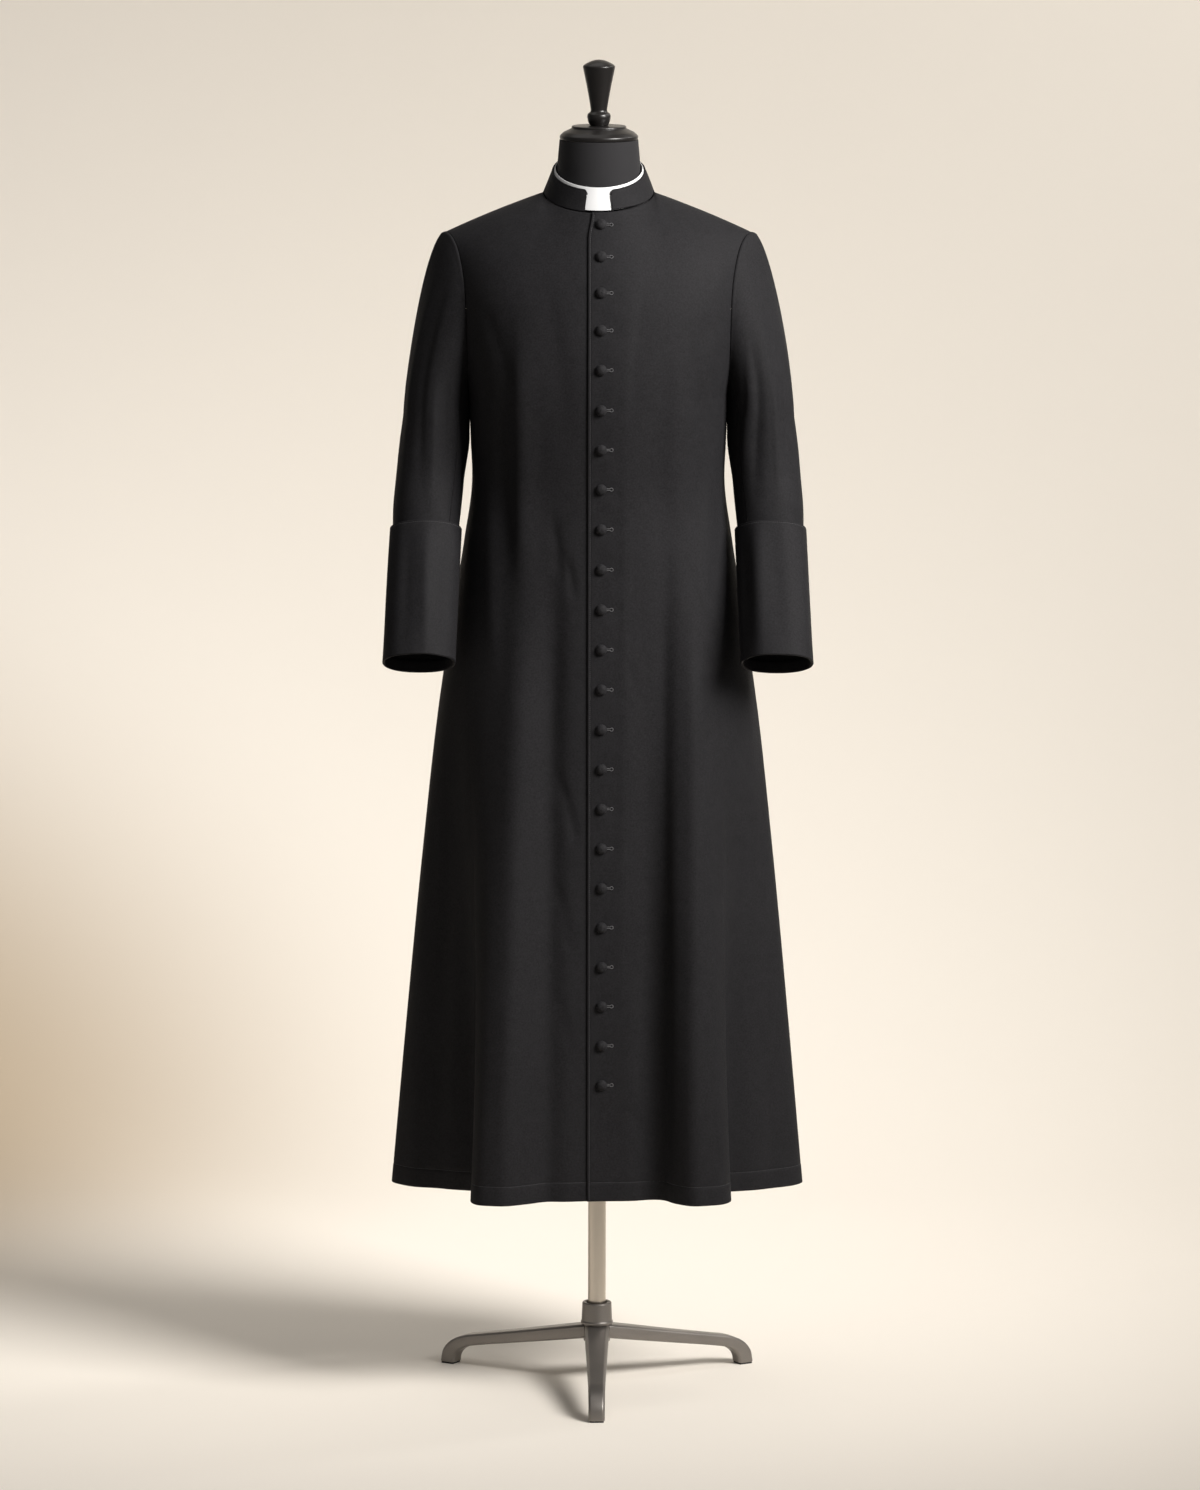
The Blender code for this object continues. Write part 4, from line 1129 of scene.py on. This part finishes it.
def makeCollar():
    start = math.asin(collar["notch"] / neckline["width"])
    corner = collar["corner"] / neckline["width"]
    near = start + corner * (1 - np.cos(np.linspace(0, np.pi / 2, 9)))
    middle = np.linspace(near[-1], 2 * np.pi - near[-1], 190)[1:-1]
    angles = np.concatenate([near, middle, 2 * np.pi - near[::-1]])
    foot, head = collarEdges(angles)
    height = np.linalg.norm(head - foot, axis=-1)
    share = np.minimum(1, (np.minimum(angles, 2 * np.pi - angles) - start) / corner)
    drop = 1 - np.sqrt(1 - (1 - share) ** 2)
    lift = np.where(foot[:, 0] > 0, lapRise(foot[:, 0]), 0.0)
    foots = (lift + collar["foot"]) / height
    heads = 1.0 - 0.16 * drop
    rows = np.concatenate([[0, 0.03, 0.07], np.linspace(0.13, 0.86, collar["rows"]), [0.91, 0.95, 0.98, 1.0]])
    outer, normals = bandGrid(angles, foots, heads, 0.0, rows)
    fromHead = (1 - rows)[:, None] * height * (heads - foots)
    soft = 0.0004 * np.sin(angles * 5 + 0.6) * np.sin(np.pi * rows)[:, None]
    groove = 0.0003 * bell((fromHead - collar["stitch"]) / 0.0008)
    outer = outer + (soft - groove)[..., None] * normals
    normals = gridNormals(outer, normals)
    piece = clothPiece("standingCollar", outer, normals, collar["wall"], "wool")
    settle(piece, "wool", "collar")


def makeInsert():
    angles = np.linspace(0, 2 * np.pi, insert["columns"], endpoint=False)
    foot, head = collarEdges(angles)
    front = 0.5 + 0.5 * np.cos(angles)
    heads = 1 + insert["head"] * (0.55 + 0.45 * front) / np.linalg.norm(head - foot, axis=-1)
    rows = np.concatenate([[0, 0.03, 0.08], np.linspace(0.15, 0.85, insert["rows"]), [0.92, 0.97, 1.0]])
    outer, normals = bandGrid(angles, insert["foot"], heads, collar["wall"] + insert["gap"], rows)
    piece = clothPiece("collarInsert", outer, normals, insert["wall"], "whiteBand", loop=True)
    settle(piece, "white_band", "collar_insert")


makeCollar()
makeInsert()
print("collar made")


# Buttons and buttonholes

buttonholes = {"reach": 0.0146, "slit": 0.0023, "eye": 0.0023, "thread": 0.00052, "above": 0.00022}


def frontAt(x, z):
    # the point and the normal of the overlapping front at x from the centre, at a height

    def face(across, level):
        points, normals = panelSurface(left, "front", np.full((1, 1), across), np.full((1, 1), level))
        return points[0, 0], normals[0, 0]

    level = closeIn(0.0, 3.0, lambda middle: face(0.0, middle)[0][2] < z, 25)
    across = closeIn(-0.2, 0.3, lambda middle: face(middle, level)[0][0] < x, 21)
    return face(across, level)


def faceAxes(normal):
    # two directions in the cloth's face: across to the wearer's left, and up
    side = unit(np.array([1.0, 0, 0]) - normal[0] * normal)
    return side, np.cross(normal, side)


# a button's profile from the middle of its crown to the middle of its back, as shares of radius and height
buttonProfile = [
    (0, 1.0), (0.30, 0.97), (0.58, 0.86), (0.80, 0.66), (0.94, 0.42),
    (1.0, 0.20), (0.95, 0.05), (0.80, 0.0), (0.5, -0.04), (0, -0.04),
]


def makeButtons(places):
    profile = np.array(rounded(buttonProfile, 0.2, 4))
    turn = 2 * np.pi * np.arange(40) / 40
    points, faces = [], []
    for number, (point, normal) in enumerate(places):
        side, up = faceAxes(normal)
        # the cover is gathered under the edge, so its rim is very slightly uneven
        wobble = 1 + 0.012 * np.sin(turn * 7 + number * 1.7) * (profile[:, :1] > 0.7)
        radius = buttons["radius"] * profile[:, :1] * wobble
        height = buttons["height"] * profile[:, 1:] * (1 + 0.03 * np.sin(turn * 2 + number))
        tilt = 0.03 * math.sin(number * 2.3)
        flat, tall = radius * np.cos(turn), radius * np.sin(turn)
        raised = height + tall * tilt + buttons["above"]
        grid = point + flat[..., None] * side + tall[..., None] * up + raised[..., None] * normal
        faces += gridFaces(len(profile), len(turn), len(points) * len(profile) * len(turn), True)
        points.append(grid.reshape(-1, 3))
    piece = addPiece("coveredButtons", np.concatenate(points), faces, "buttonWool", 50, True)
    settle(piece, "wool_button", *[f"button_{i + 1:02d}" for i in range(buttons["count"])])


def threadRing(path, up, radius, points, faces, sides=6):
    # adds a thin tube round a closed path to the lists
    across = unit(np.cross(np.roll(path, -1, axis=0) - np.roll(path, 1, axis=0), up))
    turn = 2 * np.pi * np.arange(sides) / sides
    ring = across[:, None] * np.cos(turn)[:, None] + unit(up) * np.sin(turn)[:, None]
    grid = path[:, None] + radius * ring
    grid = np.concatenate([grid, grid[:1]])
    faces += gridFaces(len(grid), sides, len(points) * len(grid) * sides, True)
    points.append(grid.reshape(-1, 3))


def makeButtonholes(places):
    # a worked edge round each slit, with a round eye at its outer end
    reach, slit, eye = buttonholes["reach"], buttonholes["slit"], buttonholes["eye"]
    outline = [(0.0, slit / 2)] + [(reach * t - eye, slit / 2) for t in np.linspace(0.2, 1, 7)]
    for a in np.linspace(0.5, math.pi - 0.02, 9):
        outline.append((reach + eye * 0.1 - eye * math.cos(a), eye * math.sin(a)))
    outline += [(x, -y) for x, y in outline[::-1]]
    points, faces = [], []
    for point, normal in places:
        side, up = faceAxes(normal)
        # it lies on the cloth, which falls away a little to the side
        rise = [buttonholes["above"] - 0.35 * x * x for x, y in outline]
        path = [point + side * x + up * y + normal * r for (x, y), r in zip(outline, rise)]
        threadRing(np.array(path), normal, buttonholes["thread"], points, faces)
    piece = addPiece("buttonholeStitching", np.concatenate(points), faces, "twist", 60, True)
    settle(piece, "wool")


places = [frontAt(x, z) for z, x in buttonPlaces()]
makeButtons(places)
makeButtonholes(places)
print("buttons made")


# Rows of stitches

stitching = {"pitch": 0.0030, "length": 0.0021, "thickness": 0.00026, "above": 0.00002, "sunk": 0.0003}


def makeStitches(name, lines):
    # each stitch is a thin spindle lying in the cloth's groove
    points, faces = [], []
    for path, normals in lines:
        run = lengthsAlong(path)
        for begin in np.arange(0.001, run[-1] - stitching["pitch"], stitching["pitch"]):
            shares = begin + stitching["length"] * np.array([0, 0.18, 0.5, 0.82, 1.0])
            spots = np.stack([np.interp(shares, run, path[:, k]) for k in range(3)], -1)
            tops = unit(np.stack([np.interp(shares, run, normals[:, k]) for k in range(3)], -1))
            rise = stitching["above"] + stitching["thickness"] * np.array([-0.9, 0.15, 0.5, 0.15, -0.9])
            thick = stitching["thickness"] * np.array([0.35, 0.9, 1.0, 0.9, 0.35])
            across = unit(np.cross(spots[-1] - spots[0], tops[2]))
            turn = 2 * np.pi * np.arange(5) / 5
            ring = across * np.cos(turn)[:, None] * 1.2 + tops[2] * np.sin(turn)[:, None] * 0.8
            grid = (spots + rise[:, None] * tops)[:, None] + thick[:, None, None] * ring
            faces += tubeFaces(5, 5, 25 * len(points))
            points.append(grid.reshape(-1, 3))
    piece = addPiece(name, np.concatenate(points), faces, "thread", 70)
    settle(piece, "wool")


def hemLine(side, half, start):
    # the line of stitches that holds up the turned-in hem
    level = body["hemDepth"] / (body["underarm"] - body["hem"])
    across = np.linspace(start, 0.995, 260)[None, :]
    points, normals = panelSurface(side, half, across, np.array([[level]]))
    mirror(side, points, normals)
    return points[0], normals[0]


def edgeLine():
    # the line of stitches down the overlapping edge
    levels = np.linspace(0.001, 2.98, 700)
    across = frontStart(left, levels)[:, None] + np.linspace(0, 0.08, 30)
    points, normals = panelSurface(left, "front", across, levels[:, None])
    spots, tops = [], []
    for run, rowPoints, rowNormals in zip(lengthsAlong(points), points, normals):
        spots.append([np.interp(body["edgeStitch"], run, rowPoints[:, k]) for k in range(3)])
        tops.append([np.interp(body["edgeStitch"], run, rowNormals[:, k]) for k in range(3)])
    tops = unit(np.array(tops))
    return np.array(spots) - stitching["sunk"] * tops, tops


def closed(line):
    points, normals = line
    return np.concatenate([points, points[:1]]), np.concatenate([normals, normals[:1]])


leftStart = float(frontStart(left, np.array([0.02]))[0]) + 0.01
hemStarts = (("front", left, leftStart), ("front", right, 0.0), ("back", left, 0.005), ("back", right, 0.005))
makeStitches("frontEdgeStitches", [edgeLine()])
makeStitches("hemStitches", [hemLine(side, half, start) for half, side, start in hemStarts])
makeStitches("cuffStitches", [closed(line) for line in cuffLines])
print("stitches made")


# Dress form

formSections = Table(
    sections.columns,
    [
        (0.992, 0.150, 0.094, 0.094, 2.2),
        (1.004, 0.172, 0.109, 0.112, 2.2),
        (1.060, 0.188, 0.121, 0.128, 2.2),
        (1.150, 0.190, 0.120, 0.118, 2.2),
        (1.270, 0.177, 0.116, 0.098, 2.2),
        (1.360, 0.170, 0.117, 0.086, 2.2),
        (1.490, 0.176, 0.131, 0.094, 2.2),
        (1.607, 0.182, 0.124, 0.098, 2.2),
        (1.680, 0.183, 0.106, 0.094, 2.1),
        (1.718, 0.170, 0.082, 0.078, 2.0),
        (1.742, 0.138, 0.069, 0.068, 2.0),
        (1.760, 0.098, 0.064, 0.064, 2.0),
        (1.776, 0.073, 0.063, 0.063, 2.0),
        (1.800, 0.0625, 0.0620, 0.0620, 2.0),
        (1.830, 0.0603, 0.0603, 0.0603, 2.0),
        (1.8605, 0.0577, 0.0577, 0.0577, 2.0),
    ],
)
form = {
    "steps": 112,
    "rows": 150,
    "turnedSteps": 96,
    "seam": 0.0004,
    "seamHalf": 0.012,
    "seamAngles": (0.09, 2.3, 4.1),
}


def makeForm():
    lowest, highest = formSections.rows[[0, -1], 0]
    heights = np.linspace(lowest, highest, form["rows"])[:, None]
    angle = np.linspace(0, 2 * np.pi, form["steps"], endpoint=False)
    size = formSections.at(heights + 0 * angle)
    x, y = oval(angle, size)
    grid = stack(x, y, heights)
    away = unit(grid * np.array([1, 1, 0]))
    for seam in form["seamAngles"]:
        offset = (np.mod(angle - seam + np.pi, 2 * np.pi) - np.pi) / form["seamHalf"]
        grid = grid - form["seam"] * bell(offset)[:, None] * away
    piece = addPiece("formCover", grid.reshape(-1, 3), tubeFaces(*grid.shape[:2]), "formCover", 40, True)
    settle(piece, "form_cover", "form_torso")


def makeTurned(name, node, profile, finish, slot, corner):
    # a turned solid; the profile goes from the axis round to the axis
    radius, height = np.split(np.array(rounded(profile, corner, 6)), 2, axis=1)
    turn = 2 * np.pi * np.arange(form["turnedSteps"]) / form["turnedSteps"]
    grid = stack(radius * np.cos(turn), radius * np.sin(turn), height)
    faces = gridFaces(*grid.shape[:2], loop=True)
    piece = addPiece(name, grid.reshape(-1, 3), faces, finish, 35, True)
    settle(piece, slot, node)


# profiles: radius and height
capProfile = [
    (0.0, 1.8815), (0.0392, 1.8812), (0.0402, 1.8795), (0.0398, 1.8778), (0.0430, 1.8762),
    (0.0520, 1.8718), (0.0556, 1.8685), (0.0572, 1.8668), (0.0575, 1.8645), (0.0568, 1.8610), (0.0, 1.8608),
]
handleProfile = [
    (0.0, 1.9780), (0.0080, 1.9770), (0.0160, 1.9738), (0.0220, 1.9702), (0.0238, 1.9680),
    (0.0232, 1.9645), (0.0180, 1.9400), (0.0140, 1.9180), (0.0119, 1.9040), (0.0128, 1.9015),
    (0.0166, 1.8985), (0.0174, 1.8948), (0.0164, 1.8885), (0.0140, 1.8832), (0.0136, 1.8818),
    (0.0, 1.8818),
]
hubProfile = [
    (0.0, 0.0800), (0.0157, 0.0800), (0.0157, 0.1212), (0.0170, 0.1228), (0.0206, 0.1228),
    (0.0218, 0.1214), (0.0228, 0.0950), (0.0240, 0.0938), (0.0240, 0.0908), (0.0228, 0.0898),
    (0.0200, 0.0895), (0.0198, 0.0640), (0.0180, 0.0625), (0.0, 0.0625),
]
poleProfile = [(0.0, 0.9917), (0.0133, 0.9917), (0.0133, 0.0803), (0.0, 0.0803)]
makeForm()
makeTurned("neckCap", "neck_cap", capProfile, "lacquer", "black_lacquer", 0.0012)
makeTurned("neckHandle", "neck_handle", handleProfile, "lacquer", "black_lacquer", 0.006)
makeTurned("polishedPole", "pole", poleProfile, "nickel", "nickel", 0.0008)
makeTurned("castHub", "base_hub", hubProfile, "coatedSteel", "coated_steel", 0.0007)
print("dress form made")


# Legs and feet

legs = {"angles": (-90, 30, 150), "chamfer": 0.25, "edge": 0.0011, "rows": 90}
feet = {"reach": 0.2550, "side": 0.0216, "corner": 0.002, "thick": 0.0020, "edge": 0.0006}
legRows = Table(
    ("row", "reach", "height", "halfThickness", "halfWidth", "slope"),
    [
        (0, 0.0108, 0.0788, 0.0106, 0.0182, -9),
        (1, 0.0600, 0.0695, 0.0102, 0.0168, -10),
        (2, 0.1300, 0.0562, 0.0092, 0.0146, -11),
        (3, 0.2000, 0.0433, 0.0086, 0.0128, -12),
        (4, 0.2240, 0.0380, 0.0090, 0.0124, -20),
        (5, 0.2420, 0.0290, 0.0104, 0.0122, -42),
        (6, 0.2520, 0.0170, 0.0118, 0.0121, -68),
        (7, 0.2550, 0.0026, 0.0122, 0.0120, -90),
    ],
)


def makeLeg(number, degrees):
    rings = []
    for at in np.linspace(0, 7, legs["rows"]):
        row = legRows.at(at)
        t, w = float(row.halfThickness), float(row.halfWidth)
        ct, cw = t * (1 - legs["chamfer"]), w * (1 - legs["chamfer"])
        outline = [(t, cw), (ct, w), (-ct, w), (-t, cw), (-t, -cw), (-ct, -w), (ct, -w), (t, -cw)]
        outline = rounded(outline, legs["edge"], 4, loop=True)
        slope = math.radians(float(row.slope))
        back, up = math.sin(slope), math.cos(slope)
        rings.append([(row.reach - a * back, b, row.height + a * up) for a, b in outline])
    grid = np.array(rings, float)
    # both ends are eased a little
    for index, inner in ((0, 1), (-1, -2)):
        grid[index] = grid[index].mean(0) + (grid[index] - grid[index].mean(0)) * 0.965
    x, y = turned(grid[..., 0], grid[..., 1], degrees)
    points = stack(x, y, grid[..., 2]).reshape(-1, 3)
    piece = addPiece(f"castLeg{number}", points, tubeFaces(*grid.shape[:2]), "coatedSteel", 38, True)
    settle(piece, "coated_steel", f"base_leg_{number}")


def makeFoot(number, degrees):
    half, edge, thick = feet["side"] / 2, feet["edge"], feet["thick"]
    square = [(half, half), (-half, half), (-half, -half), (half, -half)]
    outline = rounded(square, feet["corner"], 5, loop=True)
    rings = []
    for height, drawn in ((0, edge), (edge, 0), (thick - edge, 0), (thick, edge)):
        size = 1 - drawn / half
        ring = [turned(feet["reach"] + a * size, b * size, degrees) for a, b in outline]
        rings.append([(x, y, height) for x, y in ring])
    points = np.array(rings).reshape(-1, 3)
    piece = addPiece(f"footPad{number}", points, tubeFaces(4, len(outline)), "rubber", 30, True)
    settle(piece, "rubber", f"foot_pad_{number}")


for number, degrees in enumerate(legs["angles"], 1):
    makeLeg(number, degrees)
    makeFoot(number, degrees)
print("stand made")


# Stage

studio = {
    "halfWidth": 3.2,
    "front": -2.2,
    "bend": 1.4,
    "bendRadius": 2.2,
    "top": 8,
    "wallColour": (0.90, 0.845, 0.765),
    # painted shade: the colour, centre and reach of a warm brown darkening painted into the lower left of the
    # backdrop
    "paintedShadeColour": (0.47, 0.375, 0.265),
    "paintedShadePlace": (-1.85, 1.8, 0.0),
    "paintedShadeReach": 1.9,
    "keyPower": 58,
    "floorPower": 17,
    "fillPower": 2.6,
    "backPower": 65,
    "ambient": 0.15,
}


def makeStage():
    # a floor that sweeps up into the backdrop
    bend, radius = studio["bend"], studio["bendRadius"]
    arc = [(y, 0.0) for y in np.linspace(studio["front"], bend, 12)]
    for a in np.linspace(0, math.pi / 2, 24)[1:]:
        arc.append((bend + radius * math.sin(a), radius - radius * math.cos(a)))
    arc += [(bend + radius, z) for z in np.linspace(radius + 0.4, studio["top"], 8)]
    across = np.linspace(-studio["halfWidth"], studio["halfWidth"], 12)
    grid = np.array([[(x, y, z) for x in across] for y, z in arc])
    shader = Shader("warm paper backdrop", Specular_IOR_Level=0.15)
    cloud = shader.noise(0.9, 2)
    # painted shade: near the lower left of the sweep the paper turns towards a warm brown, standing in for
    # the shade that falls there
    ends = [shader.place(), studio["paintedShadePlace"]]
    away = shader.node("ShaderNodeVectorMath", {"operation": "DISTANCE"}, ends, output="Value")
    span = {"Value": away, "From Min": studio["paintedShadeReach"], "From Max": 0.5, "To Min": 0.0, "To Max": 1.0}
    near = shader.node("ShaderNodeMapRange", {"interpolation_type": "SMOOTHERSTEP"}, span)
    paper = shader.tint(studio["wallColour"], 0.99 + cloud * 0.02)
    shader.set("Base Color", shader.mix(near, paper, studio["paintedShadeColour"]))
    shader.set("Roughness", 0.9 + cloud * 0.05)
    finishes["backdrop"] = shader.material
    sweep = addPiece("backdrop", grid.reshape(-1, 3), gridFaces(*grid.shape[:2]), "backdrop")


def makeLight(name, place, target, size, colour, spread):
    data = bpy.data.lights.new(name + " light", "AREA")
    data.shape = "RECTANGLE"
    data.size, data.size_y = size
    data.energy = studio[name + "Power"]
    data.color = colour
    data.spread = math.radians(spread)
    light = bpy.data.objects.new(name + " light", data)
    bpy.context.scene.collection.objects.link(light)
    light.location = place
    light.rotation_euler = (Vector(target) - Vector(place)).to_track_quat("-Z", "Y").to_euler()


makeStage()
# name, place, target, size, colour, spread
for name, *values in (
    ("key", (2.9, -2.2, 3.6), (0.2, 0.0, 1.6), (2.0, 2.0), (1.0, 0.975, 0.945), 60),
    ("floor", (-0.7, 0.3, 4.4), (-0.6, -0.6, 0.0), (2.8, 2.4), (1.0, 0.975, 0.945), 180),
    ("fill", (-4.5, -5.0, 2.6), (0.0, 0.0, 1.0), (3.0, 3.0), (0.97, 0.98, 1.0), 180),
    ("back", (2.1, 1.1, 3.2), (0.6, 3.6, 2.5), (1.4, 1.4), (1.0, 0.98, 0.95), 180),
):
    makeLight(name, *values)
world = bpy.data.worlds.new("studio")
world.use_nodes = True
surround = world.node_tree.nodes["Background"]
surround.inputs["Color"].default_value = (1.0, 0.965, 0.93, 1)
surround.inputs["Strength"].default_value = studio["ambient"]
bpy.context.scene.world = world
bpy.context.scene.view_settings.view_transform = "Standard"
print("stage and lights set")
